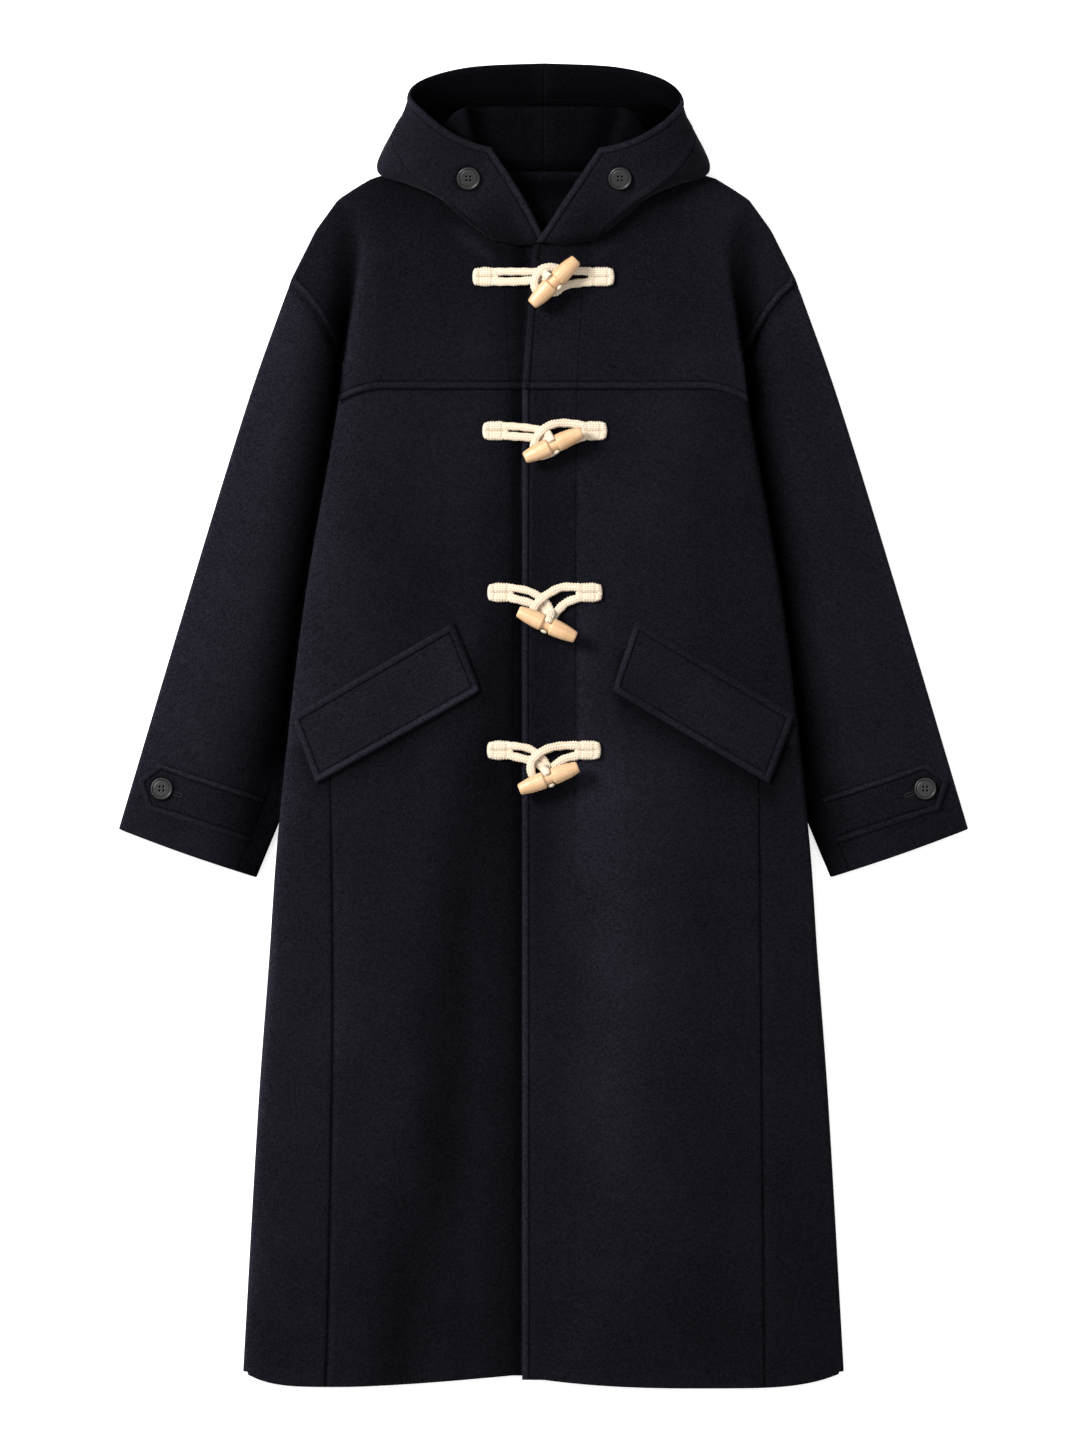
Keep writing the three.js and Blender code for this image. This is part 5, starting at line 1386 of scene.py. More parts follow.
def hood_band(side):
    """Rows run along the hood from the middle of the back to the throat, columns from rim to seam."""
    name = SIDE_NAME[side]
    s = SECTIONS
    # The last column passes the seam by a hair, so that the band covers the side's edge.
    t = spaced(46, 2.6, SEWN_EDGE, BUTTED_EDGE) * 1.005
    p = sewn_at_neck(band_middle(hood_lines(side, s), t), s, side)
    p[..., 0] *= side
    rim, along = lengths_along(p, 1), lengths_along(p, 0)
    seam = rim[:, -1:] - rim
    rise = welt(rim) + 0.6 * bell(seam - 4, 3) + butted(seam)
    sewing = np.stack([nearest(rim - STITCH_IN, np.where(rim > 12, faint(seam), FAR)), along], -1)
    # Its inner face is painted dark as shade, a little less so at the middle of the back and by the rim.
    hollow = -1.3 - (0.6 if side < 0 else 1.3) * onward(s, 1.6, 1.2)
    piece = cloth_shell(f"hood_band_{name}_cloth", p, up=-side, rise=rise, sewing=sewing,
                        tone=band_light_and_shade(p, s, side, rim),
                        inside_tone=hollow + 0.5 * bell(along, 9) + 0.5 * bell(rim - 3, 4))
    return wool(piece, f"hood_band_{name}")


# %% Folds of the stand
STAND_FOLD = [(75, 583), (66, 548)]  # the sharp fold beside the neck, from the ridge down


def stand_folds(x, y):
    """Height of the wing at each side of the stand: it rises slowly from outside to the fold and drops
    sharply inside it into a hollow."""
    d = beyond(x, y, *STAND_FOLD)
    down = ease((590 - y) / 8) * ease((y - 535) / 14)
    wing = np.where(d > 0, bell(d, 16), bell(d, 4))
    return down * (5.5 * wing - 3.0 * bell(d + 14, 10))


def stand_light_and_shade(x, y):
    """Painted light and shade: the wing is painted paler than the hollow beside it, and the neck seam's
    side is painted dark.
    """
    d = beyond(x, y, *STAND_FOLD)
    wing = np.where(d > 0, bell(d - 2, 12), bell(d - 1, 3))
    return ease((590 - y) / 8) * (0.75 * wing - 1.1 * bell(d + 9, 9)) - 0.9 * ease((542 - y) / 14)


# %% Hood side
RUNS = [11, 11, 4, 9, 4, 9, 12, 10, 10]  # columns from each knot of a section to the next
FOLD_COLUMN = sum(RUNS[:2])  # at the outer fold
STAND_COLUMN = sum(RUNS[:7])  # at the ridge of the stand
OUTER = FOLD_COLUMN + 3  # columns that make the outer face


def side_grid(side, s):
    """Each section runs from the band seam to the outer fold, under to the tuck, back up to the foot
    and ridge of the stand, and down to the neck edge."""
    q = hood_lines(side, s)
    rounded = mix(q[:, BAND_SEAM], q[:, FOLD], 0.5) + np.array([0, 0, 1.5])
    front = onward(s, 3, 2)
    fold = q[:, FOLD] + front * np.array([0, 0, 1.2])
    low = mix(fold, q[:, TUCK], 0.3)
    low[:, 2] = np.minimum(low[:, 2], fold[:, 2] - 1.7 * front[:, 0])
    knots = [q[:, BAND_SEAM], rounded, fold, low, q[:, TUCK], mix(q[:, TUCK], q[:, FOOT], 0.4),
             q[:, FOOT], q[:, RIDGE], mix(q[:, RIDGE], q[:, NECK_EDGE], 0.5), q[:, NECK_EDGE]]
    columns = [mix(a[:, None], b[:, None], np.linspace(0, 1, n + 1)[None, :-1, None])
               for a, b, n in zip(knots, knots[1:], RUNS)]
    p = soften(np.concatenate(columns + [knots[-1][:, None]], 1), 3)
    p[..., 2] = np.maximum(p[..., 2], CLOTH / 2)
    stand = p[:, STAND_COLUMN:]
    stand[..., 1] += 10 * np.linspace(0, 1, stand.shape[1]) ** 2
    stand[..., 2] += stand_folds(stand[..., 0], stand[..., 1])
    p[:, :FOLD_COLUMN] = sewn_at_neck(p[:, :FOLD_COLUMN], s, side)
    p[..., 0] *= side
    return p


def hood_side_light_and_shade(p, s, side, seam):
    """Painted light and shade of both faces, in stops. The outer face is painted pale along the outer
    fold and darker by the band's seam and near the throat; what is turned under is painted dark, as
    shade, and so is the inner face of the outer part, and the stand has its own painted light and
    shade."""
    right = side < 0
    tone = np.full(p.shape[:2], -3.0)
    by_seam = 0.4 * bell(seam[:, :OUTER], 8) * onward(s, 5, 2)
    throat = (0.7 if right else 0.25) * onward(s, 6.6, 1.2)
    near_fold = 0.6 * bell(np.arange(OUTER) - FOLD_COLUMN, 7) * onward(s, 2.4, 0.8) * onward(-s, -6.2, 1.6)
    tone[:, :OUTER] = (0.3 if right else 0.1) - by_seam - throat + near_fold
    x, y = np.abs(p[:, STAND_COLUMN:, 0]), p[:, STAND_COLUMN:, 1]
    tone[:, STAND_COLUMN:] = -1.45 + 0.35 * bell(x, 10) + stand_light_and_shade(x, y)
    hollow = -0.3 - (2.4 if right else 3.7) * onward(s, 1.3, 1.1)
    return tone, np.where(np.arange(p.shape[1]) < OUTER, hollow, tone)


def hood_side(side):
    """In front of the shoulder the side stops just past the outer fold."""
    name = SIDE_NAME[side]
    s = SECTIONS
    p = side_grid(side, s)
    cells = np.ones((p.shape[0] - 1, p.shape[1] - 1), bool)
    cells[np.ix_(s[:-1] >= 5, np.arange(cells.shape[1]) >= FOLD_COLUMN + 5)] = False
    seam = lengths_along(p, 1)
    sewing = np.stack([faint(seam), lengths_along(p, 0)], -1)
    tone, inside = hood_side_light_and_shade(p, s, side, seam)
    piece = cloth_shell(f"hood_side_{name}_cloth", p, up=-side, keep=cells, rise=butted(seam),
                        sewing=sewing, tone=tone, inside_tone=inside)
    return wool(piece, f"hood_side_{name}")


for make in (hood_band, hood_side):
    for side in SIDE_NAME:
        make(side)

# %% [markdown]
# ## Buttons
#
# Four-hole buttons of dark horn, turned on a lathe: a raised rounded rim, a groove inside it and a
# nearly flat middle with four drilled holes. A disc of rings and spokes gives the turned shape. The
# holes are pressed into it, so that no edge has to be cut, and they get a near-black material: painted
# shade.

# %% Dark horn
horn, tree, shader = new_material("dark_horn")
place = in_object(tree)
cloudy = noise(tree, place, 260.0, 4.0, Distortion=1.2)
scratches = noise(tree, place, 1800.0)
surface(tree, shader, {
    "Base Color": blend_colour(tree, cloudy, (0.0045, 0.0045, 0.0048, 1), (0.017, 0.017, 0.018, 1)),
    "Roughness": remapped(tree, scratches, 0.0, 1.0, 0.3, 0.5),
    "Normal": bumped(tree, scratches, 0.12, 0.0003),
})

# A near-black material for inside the drilled holes: painted shade, where almost no light comes back.
hole_shade, tree, shader = new_material("button_hole_shade")
hole_shade_noise = noise(tree, in_object(tree), 900.0)
surface(tree, shader, {
    "Base Color": blend_colour(tree, hole_shade_noise, (0.0008, 0.0008, 0.0008, 1), (0.002, 0.002, 0.002, 1)),
    "Roughness": 0.9,
    "Specular IOR Level": 0.02,
})

# %% Turned buttons
TOP_RINGS = 40  # rings of the upper face; the others make the edge and the back
HOLE_OFF = 1.8  # mm from the middle to a hole, in x and in y
HOLE_DEEP = 2.2


def turned_button(radius):
    """Rings of points over the button's seat: a lathe profile of straight runs, softened, less four
    holes, each level within 0.35 mm of its middle and eased out over the next 0.85 mm."""
    edge_share, edge_z = np.array([(1, 2.5), (1, 1.5), (0.985, 1), (0.94, 0.6), (0.85, 0.25), (0.7, 0.05),
                                   (0.4, 0), (0, 0)]).T
    share = np.concatenate([np.linspace(0, 0.97, TOP_RINGS), edge_share])
    profile_r = np.array([0, 0.6, 0.72, 0.78, 0.85, 0.93, 0.97])
    profile_z = np.array([2.3, 2.35, 2.3, 1.5, 3.1, 3.4, 2.9])
    upper = np.interp(share[:TOP_RINGS], profile_r, profile_z)
    z = np.concatenate([soften(upper[None], 2)[0], edge_z])
    angle = np.linspace(0, 2 * np.pi, 97)[:-1]
    x = radius * share[:, None] * np.cos(angle)
    y = radius * share[:, None] * np.sin(angle)
    # The holes lie alike in the four quarters, so one does for all.
    from_hole = np.hypot(np.abs(x) - HOLE_OFF, np.abs(y) - HOLE_OFF)
    hole = HOLE_DEEP * (1 - ease((from_hole - 0.35) / 0.85))
    hole[TOP_RINGS:] = 0
    return np.stack([x, y, z[:, None] - hole], -1)


def seat_on(p, seat, normal):
    """Turns points from the Z axis to the normal, with no twist about it, and moves them to the seat."""
    n = np.asarray(normal, float) / np.linalg.norm(normal)
    a = np.cross([0, 1, 0], n)
    a /= np.linalg.norm(a)
    b = np.cross(n, a)
    return np.asarray(seat) + p[..., :1] * a + p[..., 1:2] * b + p[..., 2:] * n


def button_piece(cad_node, radius, seat, normal):
    """The faces that lie wholly inside the holes get the near-black material of painted shade."""
    turned = turned_button(radius)
    rows, cols = turned.shape[:2]
    faces = grid_faces(rows, cols, ring=True)
    piece = new_piece(f"{cad_node}_turned", seat_on(turned, seat, normal).reshape(-1, 3), faces)
    piece.data.materials.append(horn)
    piece.data.materials.append(hole_shade)
    low = (turned[..., 2] < 1.75) & (np.hypot(turned[..., 0], turned[..., 1]) < 5)
    low[TOP_RINGS:] = False
    piece.data.polygons.foreach_set("material_index", low.ravel()[faces].all(1).astype(np.int32))
    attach(piece, "root")
    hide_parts(cad_node)
    print(cad_node, "seat", np.round(seat, 1))
    return piece


for side, name in SIDE_NAME.items():
    seat = (side * CUFF_BUTTON_AT[0], CUFF_BUTTON_AT[1], SLEEVE_HIGH + FACED + 2 * GAP)
    button_piece(f"cuff_button_{name}", 10.25, seat, (0, 0, 1))
    # A hood button lies on the band as it slopes there: three rows and columns round its place.
    near = hood_lines(side, np.array([6.75, 6.95, 7.15]))
    around = band_middle(near, np.array([0.46, 0.555, 0.65]))
    normal = np.cross(around[2, 1] - around[0, 1], around[1, 2] - around[1, 0])
    normal *= np.sign(normal[2]) / np.linalg.norm(normal)
    seat = around[1, 1] + normal * (CLOTH / 2 + 1.05)
    mirror = np.array([side, 1, 1])
    button_piece(f"hood_button_{name}", 10.9, seat * mirror, normal * mirror)

# %% [markdown]
# ## Toggles and cords
#
# A toggle is a short turned stick of pale wood, thick in the middle and blunt at the ends, with a neck
# cut round it for its cord. Its cord is braided cotton, doubled: the fold of the cord is sewn down as a
# flat pad, and the two strands lie side by side and pass under the toggle's neck. On the other front a
# loop of the same cord is sewn down in the same way and goes over and round the toggle.

# %% Pale wood
wood, tree, shader = new_material("pale_wood")
grain_map = node(tree, "UVMap", uv_map="sewing").outputs[0]
long_grain = node(tree, "Mapping", Vector=grain_map, Scale=(18.0, 420.0, 1.0)).outputs[0]
streaks = noise(tree, long_grain, 1.0, 4.0, Roughness=0.55, Distortion=0.6)
fleck_map = node(tree, "Mapping", Vector=grain_map, Scale=(260.0, 2200.0, 1.0)).outputs[0]
flecks = noise(tree, fleck_map, 1.0)
patch = noise(tree, in_object(tree), 35.0, 1.0)
tone = sums(tree, "ADD", sums(tree, "MULTIPLY", streaks, 0.7), sums(tree, "MULTIPLY", patch, 0.45))
tone = remapped(tree, tone, 0.42, 0.72)
colour = blend_colour(tree, tone, (0.53, 0.315, 0.155, 1), (0.68, 0.445, 0.255, 1))
dark = remapped(tree, flecks, 0.6, 0.75, 0.0, 0.35)
surface(tree, shader, {
    "Base Color": blend_colour(tree, dark, colour, (0.46, 0.27, 0.12, 1)),
    "Normal": bumped(tree, streaks, 0.12, 0.0004),
    "Roughness": 0.42,
    "Coat Weight": 0.12,
    "Coat Roughness": 0.3,
})

# %% Braided cotton
# The sewing map holds the length along a cord and the way across it. Ribs run along it, and slanting
# strokes on each rib lean one way and then the other, as plaited yarns do.
RIB, STROKE = 0.0018, 0.0026  # metres
cotton, tree, shader = new_material("braided_cotton")
parts = node(tree, "SeparateXYZ", Vector=node(tree, "UVMap", uv_map="sewing").outputs[0]).outputs
across = sums(tree, "PINGPONG", parts[1], RIB)
ribs = sums(tree, "SINE", sums(tree, "MULTIPLY", across, math.pi / RIB))
slant = sums(tree, "ADD", parts[0], sums(tree, "MULTIPLY", across, 0.9))
strokes = sums(tree, "SINE", sums(tree, "MULTIPLY", slant, 2 * math.pi / STROKE))
strokes = sums(tree, "MULTIPLY_ADD", strokes, 0.5, 0.5)
place = in_object(tree)
fluff = noise(tree, place, 2400.0)
wear = noise(tree, place, 90.0)
yarn = sums(tree, "ADD", sums(tree, "MULTIPLY", ribs, 0.5), sums(tree, "MULTIPLY", strokes, 0.35))
yarn = sums(tree, "ADD", yarn, sums(tree, "MULTIPLY", fluff, 0.25))
# The colour follows the yarns: painted shade between the ribs and strokes and a painted highlight on them,
# with the fluff's own specks.
lit = remapped(tree, yarn, 0.1, 0.75)
colour = blend_colour(tree, lit, (0.53, 0.43, 0.305, 1), (0.74, 0.62, 0.48, 1))
tint = remapped(tree, wear, 0.4, 0.7, 0.0, 0.3)
surface(tree, shader, {
    "Base Color": blend_colour(tree, tint, colour, (0.56, 0.45, 0.31, 1)),
    "Normal": bumped(tree, yarn, 0.9, 0.0007),
    "Roughness": 0.9,
    "Sheen Weight": 0.15,
    "Sheen Roughness": 0.5,
})


# %% Threads
def thread(name, dark, pale, more):
    """A twisted thread, between two colours."""
    material, tree, shader = new_material(name)
    twist = noise(tree, in_object(tree), 3000.0, 1.0)
    surface(tree, shader, {"Base Color": blend_colour(tree, twist, dark, pale), "Roughness": 0.8, **more})
    return material


cotton_thread = thread("cotton_thread", (0.46, 0.36, 0.23, 1), (0.62, 0.51, 0.35, 1), {})
navy_thread = thread("navy_thread", (0.004, 0.0039, 0.0055, 1), (0.010, 0.0095, 0.013, 1),
                     {"Specular IOR Level": 0.25})

# %% Toggles
TOGGLE_NECK = 5.4  # mm of radius
AXIS_HIGH = 15.2  # mm from the cloth up to a toggle's axis
# Of each: the toggle's middle and the way its axis points; the pads; how far in degrees the cord shows
# over the neck; and the paths of the two strands and the loop, as x, y and layer over the cloth.
FASTENINGS = [
    {"at": (10.1, 420.9), "way": (21.2, 21.3), "pads": (-54.6, 54.7), "y": 426.4, "over": 30,
     "high": [(-26, 431.2, 1), (-10, 431, 1), (-1, 430.4, 1.05)],
     "low": [(-26, 421.8, 1), (-10, 423.2, 1), (-1.5, 425.8, 1.05)],
     "loop": [(24, 432.6, 1.1), (4, 435.2, 1.7), (-5, 430, 2), (-8.4, 420, 2), (-4.5, 411.5, 1.8),
              (11, 412, 1.1), (22.3, 418.6, 1)]},
    {"at": (9.4, 266.5), "way": (26.7, 12), "pads": (-45.2, 47.8), "y": 280.3, "over": 60,
     "high": [(-18, 283.5, 1), (-5.7, 281.6, 1), (2.5, 278.5, 1.2)],
     "low": [(-20, 274.5, 1), (-9, 273.6, 1), (-1, 273.4, 1.1)],
     "loop": [(20, 287.6, 1), (7, 285.6, 1.6), (-2, 280, 2), (-7.2, 272, 2), (-8.6, 263, 2),
              (-4, 257, 1.6), (6, 259, 1), (20, 268, 1)]},
    {"at": (3.3, 96.7), "way": (25.5, -11.7), "pads": (-40.5, 43.3), "y": 127, "over": 75,
     "high": [(-16.2, 129, 1), (-5.2, 123.8, 1), (2.7, 117, 1), (6.8, 110, 1.3)],
     "low": [(-14, 117.4, 1), (-4, 113, 1), (3, 108.5, 1.2)],
     "loop": [(18.4, 132, 1.1), (6.7, 126.9, 1.7), (-3, 120, 2), (-9, 112, 2), (-10.5, 104, 2),
              (-6, 96.5, 1.7), (4, 98, 1), (12.5, 108.5, 1), (22, 117.5, 1)]},
    {"at": (4.9, -49.1), "way": (26.5, 10.3), "pads": (-40.9, 41.9), "y": -22.6, "over": 62,
     "high": [(-16.2, -20.3, 1), (-6.7, -25.1, 1), (0.3, -31.4, 1), (3.4, -37.5, 1.3)],
     "low": [(-14, -32, 1), (-5, -36, 1), (0, -39.5, 1.2)],
     "loop": [(18.4, -18.3, 1.1), (6.7, -20.3, 1.7), (-3.6, -25.1, 2), (-10.5, -32, 2), (-12, -40, 2),
              (-9.5, -48, 1.9), (-2, -52, 1.2), (5, -45, 1), (12, -36, 1), (21, -30.5, 1)]},
]


def axis_of(i):
    """Middle of toggle i's axis, its height from the box of its CAD node; and the unit way it points."""
    low, high = (np.array(q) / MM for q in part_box(f"toggle_{i + 1}"))
    way = np.array([*FASTENINGS[i]["way"], 0.0])
    return np.array([*FASTENINGS[i]["at"], (low[2] + high[2]) / 2]), way / np.linalg.norm(way)


def toggle_piece(i):
    """Radius by place along the axis: straight runs softened, with a neck in the middle; each ring is
    very slightly out of round, as a hand-finished toggle is."""
    middle_point, way = axis_of(i)
    s = np.concatenate([[-30, -30, -29.6, -28.8], np.linspace(-27.5, 27.5, 111), [28.8, 29.6, 30, 30]])
    a = np.abs(s)
    taper = np.interp(a, [5.2, 10, 19, 26, 30], [8.3, 8.25, 7.5, 6.2, 5.35])
    r = mix(TOGGLE_NECK, taper, ease((a - 3.4) / 1.7))
    r = soften(r[None], 1)[0] - 0.9 * ease((a - 28.6) / 1.4) ** 2
    r[[0, -1]] = 0
    angle = np.linspace(0, 2 * np.pi, 57)[:-1]
    oval = 1 + 0.02 * np.cos(2 * angle + i) + 0.008 * np.sin(3 * angle + 2 * i)
    side_way = np.array([-way[1], way[0], 0])
    ring = r[:, None, None] * (oval * np.cos(angle))[None, :, None] * side_way
    ring = ring + r[:, None, None] * (oval * np.sin(angle))[None, :, None] * np.array([0, 0, 1.0])
    p = middle_point + s[:, None, None] * way + ring
    uv = np.stack(np.broadcast_arrays(s[:, None] + 70 * i, (angle * 7)[None]), -1)
    rows, cols = p.shape[:2]
    faces = grid_faces(rows, cols, ring=True)
    piece = new_piece(f"toggle_{i + 1}_turned", p.reshape(-1, 3), faces, uv.reshape(-1, 2))
    piece.data.materials.append(wood)
    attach(piece, "root")
    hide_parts(f"toggle_{i + 1}")
    return piece


toggles = [toggle_piece(i) for i in range(len(FASTENINGS))]
print("toggles:", [t.name for t in toggles])

# %% Cords as tubes
# A part is one grid of a cord: its points, its map, whether it is a ring, and whether its faces are
# turned over.
CORD_WIDE, CORD_HIGH = 7.9, 3.7
PAD_WIDE, PAD_TALL, PAD_HIGH = 25.5, 18.4, 3.6
STRAND_OFF = 4.7  # mm from the middle of a pad to each of its two strands
ROUND = np.linspace(0, 2 * np.pi, 25)[:-1]  # the angles round a cord
ROUND_MAP = 10 * RIB / MM  # mm of map round a cord: ten ribs


def closing(run, over):
    """0 at both ends of a run, growing as a circle's height does to 1 over a length from them."""
    return np.sqrt(1 - (1 - np.clip(np.minimum(run, run[-1] - run) / over, 0, 1)) ** 2)


def cord_tube(path, wide=CORD_WIDE, high=CORD_HIGH, swell=0.085):
    """A flattened tube as a part: an oval, squarer than an ellipse, carried along the path. Its width
    swells and shrinks a little with every stroke of the braid. The ends close."""
    p = np.asarray(path, float)
    run = np.concatenate([[0], np.cumsum(np.linalg.norm(np.diff(p, axis=0), axis=1))])
    way = np.gradient(p, axis=0)
    way /= np.linalg.norm(way, axis=1, keepdims=True)
    flat = np.stack([-way[:, 1], way[:, 0], 0 * way[:, 0]], -1)
    flat /= np.maximum(np.linalg.norm(flat, axis=1, keepdims=True), 1e-9)
    rise = np.cross(way, flat)
    power = 0.8
    cx = np.sign(np.cos(ROUND)) * np.abs(np.cos(ROUND)) ** power
    cz = np.sign(np.sin(ROUND)) * np.abs(np.sin(ROUND)) ** power
    strokes = np.sin(2 * np.pi * run / (STROKE / MM))
    scale = 1 + swell * strokes + swell * 0.6 * np.sin(run / 1.9 + 0.1 * p[:, 1])
    w = (wide / 2 * scale * closing(run, 1.2))[:, None, None]
    h = (high / 2 * closing(run, 1.2))[:, None, None]
    points = p[:, None] + w * cx[None, :, None] * flat[:, None] + h * cz[None, :, None] * rise[:, None]
    uv = np.stack(np.broadcast_arrays(run[:, None], (ROUND / (2 * np.pi) * ROUND_MAP)[None]), -1)
    return points, uv, True, False


def neck_ring(middle_point, way, radius, over):
    """The cord's end round a toggle's neck, as a part: a flattened tube bent round the axis, from the
    angle over, down and under the neck to -205 degrees. Its width lies along the axis, and its ends
    close."""
    side_way, up = np.array([-way[1], way[0], 0]), np.array([0, 0, 1.0])
    angle = np.linspace(over, math.radians(-205), 60)
    out = np.cos(angle)[:, None] * side_way + np.sin(angle)[:, None] * up
    close = closing(np.arange(60) / 59, 0.06)[:, None, None]
    across = 3.3 * close * np.cos(ROUND)[None, :, None] * way
    thick = 1.7 * close * np.sin(ROUND)[None, :, None] * out[:, None]
    points = (middle_point + radius * out)[:, None] + across + thick
    round_map = np.linspace(0, ROUND_MAP, len(ROUND))
    uv = np.stack(np.broadcast_arrays(radius * (over - angle)[:, None], round_map[None]), -1)
    return points, uv, True, False


def fine_path(points, step=0.65):
    """A Catmull-Rom curve through the points, at even steps along it."""
    coarse = spline(points, np.linspace(0, len(points) - 1, 40 * len(points)))
    long = np.linalg.norm(np.diff(coarse, axis=0), axis=1).sum()
    return along_line(coarse, np.linspace(0, 1, max(12, int(long / step))))


# %% Sewn pads
BAR_OFF = 6.2  # mm from a pad's middle to the bar of stitches near each end


def sewn_pad(x, y, z):
    """The fold of a doubled cord, sewn flat, as two parts: a rounded slab whose top is two strands side
    by side. Its height is a superellipse out to the edge times the strands' shape, less dents at the
    stitches."""
    u, v = np.meshgrid(np.linspace(-1, 1, 61), np.linspace(-1, 1, 49), indexing="ij")
    # The square of shares is bent so that its corners become round.
    corner = 0.16 * (u * v) ** 2
    px = u * PAD_WIDE / 2 * (1 - corner * 0.9)
    ripple = 1 + 0.035 * np.sin(2 * np.pi * px / (STROKE / MM)) + 0.02 * np.sin(px / 1.7 + x)
    py = v * PAD_TALL / 2 * (1 - corner * 1.2) * ripple
    height = np.clip(1 - np.maximum(np.abs(u), np.abs(v)) ** 9, 0, 1) ** 0.5
    strands = 1 - 0.16 * np.abs(np.cos(np.pi * py / (PAD_TALL / 2))) ** 6
    middle_seam = bell(py, 0.8) * (np.abs(px) < 9.5)
    bars = (bell(px + BAR_OFF, 0.9) + bell(px - BAR_OFF, 0.9)) * (np.abs(py) < 7.2)
    dent = 0.45 * (0.45 * middle_seam + 0.38 * bars)
    top = np.maximum(z + PAD_HIGH * (height * strands - dent), z)
    upper = np.stack([x + px, y + py, top], -1)
    lower = np.stack([x + px, y + py, np.full_like(px, z)], -1)
    uv = np.stack([px, py + 30], -1)
    return [(upper, uv, False, False), (lower, uv, False, True)]


def pad_stitches(x, y, z):
    """Single stitches as thin tubes, each a little arched: a row along the pad's middle and a bar
    across near each end."""
    ends = [((x - 5.4 + 2.7 * k, y, z), (x - 3.6 + 2.7 * k, y, z)) for k in range(4)]
    for bar in (-BAR_OFF, BAR_OFF):
        ends += [((x + bar, y - 5.6 + 2.5 * k, z), (x + bar, y - 3.9 + 2.5 * k, z)) for k in range(5)]
    tubes = []
    for a, b in ends:
        path = np.linspace(a, b, 7)
        path[:, 2] += 0.25 * np.sin(np.pi * np.linspace(0, 1, 7))
        tubes.append(cord_tube(path, 0.8, 0.7, 0))
    return tubes


# %% Put cords together
def joined(name, parts, material):
    """One piece of several parts."""
    points, maps, faces, count = [], [], [], 0
    for p, uv, ring, flip in parts:
        rows, cols = p.shape[:2]
        f = grid_faces(rows, cols, count, ring)
        faces.append(f[:, ::-1] if flip else f)
        points.append(p.reshape(-1, 3))
        maps.append(uv.reshape(-1, 2))
        count += rows * cols
    piece = new_piece(name, np.concatenate(points), np.concatenate(faces), np.concatenate(maps))
    piece.data.materials.append(material)
    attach(piece, "root")
    return piece


def level(z, n):
    """Height of the middle of a cord in layer n over the cloth at z; a layer is 3.6 mm."""
    return z + GAP * n + 3.6 * (n - 0.5)


def fastening_cords(i):
    """Toggle i's cord, the loop on the other front, and the stitches of both pads."""
    f = FASTENINGS[i]
    middle_point, way = axis_of(i)
    cloth_z = middle_point[2] - AXIS_HIGH
    side_way, up = np.array([-way[1], way[0], 0]), np.array([0, 0, 1.0])

    def stops(rows):
        return [(x, y, level(cloth_z, layer)) for x, y, layer in rows]

    # The strands of the toggle's cord come together at the neck: one passes under it, and the other
    # over it and round.
    over = math.radians(f["over"])
    r = TOGGLE_NECK + 1.9
    onto = middle_point + r * (math.cos(over) * side_way + math.sin(over) * up)
    beside = middle_point + side_way * 9.2 - 0.6 * up
    beneath = middle_point + side_way * 4 - 5.2 * up
    start = f["pads"][0] + PAD_WIDE / 2 - 5
    parts = []
    for via, off, last, wide in ((f["high"], STRAND_OFF, [beside, onto], 7.2),
                                 (f["low"], -STRAND_OFF, [beneath], CORD_WIDE)):
        path = stops([(start, f["y"] + off, 1), *via]) + [tuple(q) for q in last]
        parts.append(cord_tube(fine_path(path), wide))
    parts.append(neck_ring(middle_point, way, r, over))
    cord = joined(f"toggle_cord_{i + 1}_braid", parts + sewn_pad(f["pads"][0], f["y"], cloth_z + GAP), cotton)
    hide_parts(f"toggle_cord_{i + 1}")

    # The loop goes out from its pad, over and round the toggle, and back.
    start = f["pads"][1] - PAD_WIDE / 2 + 5
    path = stops([(start, f["y"] + STRAND_OFF, 1), *f["loop"], (start, f["y"] - STRAND_OFF, 1)])
    parts = [cord_tube(fine_path(path))] + sewn_pad(f["pads"][1], f["y"], cloth_z + GAP)
    loop = joined(f"loop_cord_{i + 1}_braid", parts, cotton)
    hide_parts(f"loop_cord_{i + 1}")

    sewn = [tube for x in f["pads"] for tube in pad_stitches(x, f["y"], cloth_z + GAP + PAD_HIGH - 1.0)]
    stitches = joined(f"fastening_{i + 1}_stitches", sewn, cotton_thread)
    return cord, loop, stitches


for i in range(len(FASTENINGS)):
    pieces = fastening_cords(i)
    print("fastening", i + 1, [len(q.data.polygons) for q in pieces])

# %% [markdown]
# ## Buttonholes
#
# Each cuff strap has a buttonhole: a slit with a rim of close stitches in thread of the wool's
# colour. Half of it is under the button, and the other half shows.

# %% Buttonholes of the cuff straps
HOLE_HALF_WIDE = 1.5


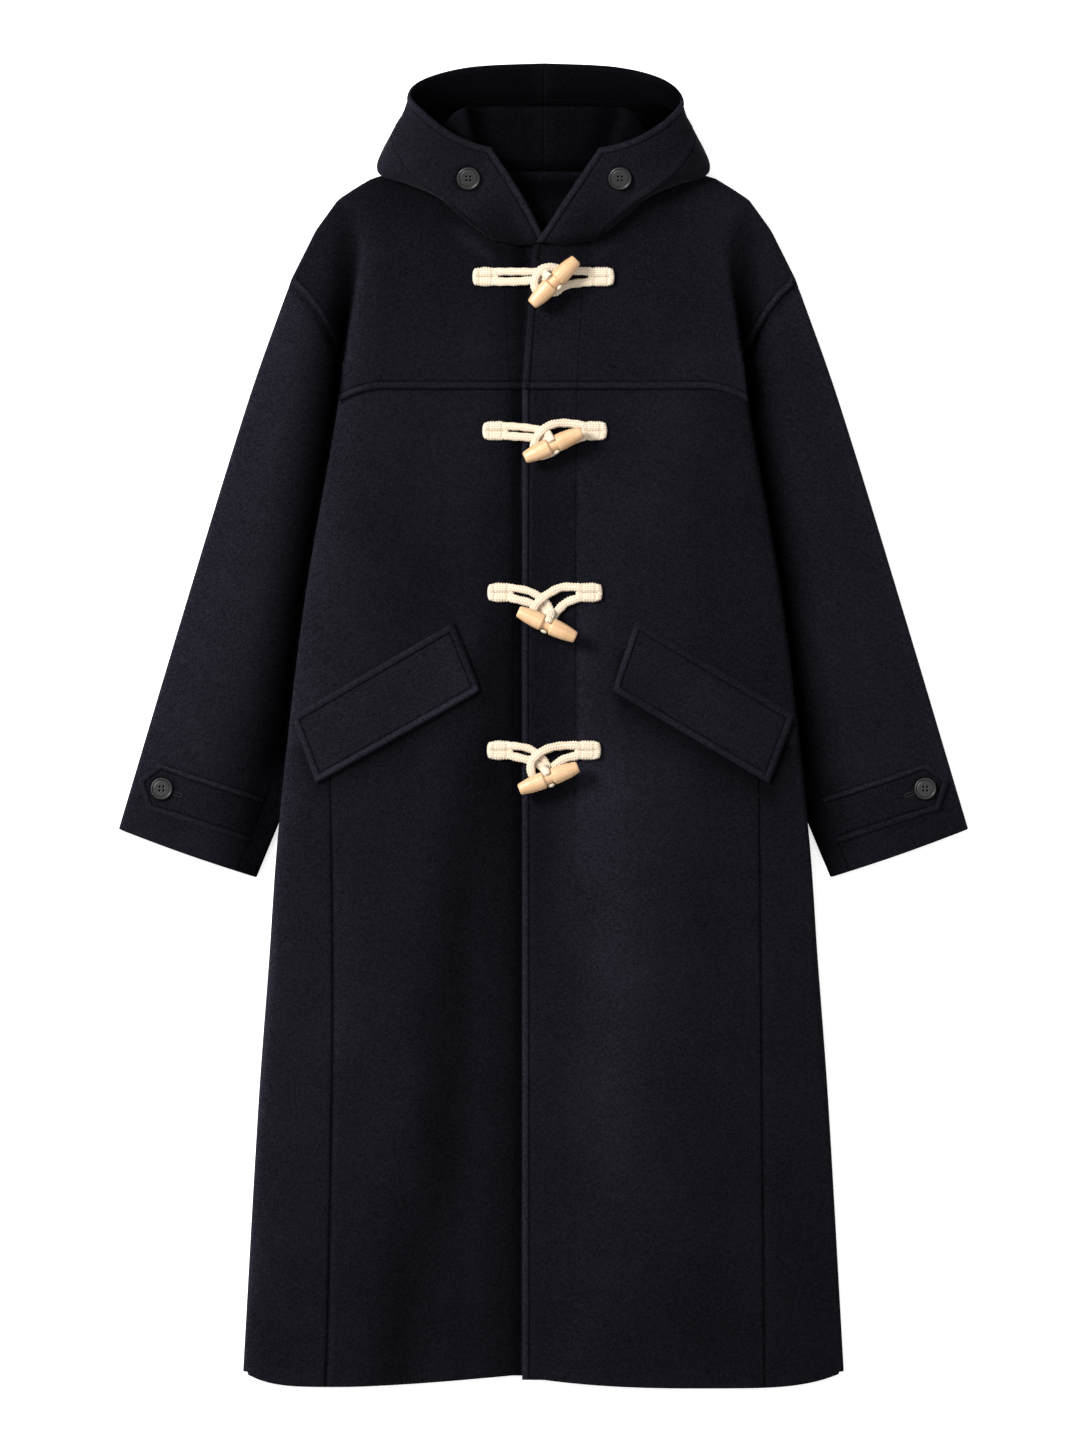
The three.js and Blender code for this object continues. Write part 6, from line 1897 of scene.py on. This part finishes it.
def buttonhole(side):
    """A thin tube along a long oval round the slit: an ellipse with a high power, so that its sides run
    straight."""
    inner, outer = (np.array([side * a, b]) for a, b in SLIT)
    centre, half = (inner + outer) / 2, np.linalg.norm(outer - inner) / 2
    way = (outer - inner) / (2 * half)
    angle = np.linspace(0, 2 * np.pi, 73)
    a = half * np.sign(np.cos(angle)) * np.abs(np.cos(angle)) ** 0.5
    b = HOLE_HALF_WIDE * np.sign(np.sin(angle)) * np.abs(np.sin(angle)) ** 0.5
    plan = centre + a[:, None] * way + b[:, None] * np.array([-way[1], way[0]])
    path = np.concatenate([plan, np.full((len(plan), 1), SLEEVE_HIGH + GAP + FACED + 0.15)], 1)
    piece = joined(f"cuff_buttonhole_{SIDE_NAME[side]}", [cord_tube(path, 1.0, 0.8, 0)], navy_thread)
    return piece


buttonholes = [buttonhole(side) for side in SIDE_NAME]
print("buttonholes:", [b.name for b in buttonholes])

# %% [markdown]
# ## Floor and finish
#
# The floor is a plain matt sheet just under the coat, lit a little from below like a light table, so
# that the coat throws almost no shadow on it.

# %% Pale floor
paper, tree, shader = new_material("pale_paper")
tooth = noise(tree, in_object(tree), 400.0)
surface(tree, shader, {
    "Base Color": blend_colour(tree, tooth, (0.93, 0.93, 0.93, 1), (0.95, 0.95, 0.95, 1)),
    "Roughness": 1.0,
    "Specular IOR Level": 0.0,
    "Emission Color": (1, 1, 1, 1),
    "Emission Strength": 0.55,
})
FLOOR_HALF, FLOOR_BELOW = 12.0, 0.0004  # metres: its reach, and how far it is under the coat
corners = [(a * FLOOR_HALF, b * FLOOR_HALF) for a, b in ((-1, -1), (1, -1), (1, 1), (-1, 1))]
floor_mesh = bpy.data.meshes.new("floor")
floor_mesh.from_pydata([(x, y, CAD_BOX[0][2] - FLOOR_BELOW) for x, y in corners], [], [(0, 1, 2, 3)])
floor_mesh.materials.append(paper)
floor = bpy.data.objects.new("floor", floor_mesh)
bpy.context.scene.collection.objects.link(floor)

# %% Print the CAD box
print("CAD box:", CAD_BOX)
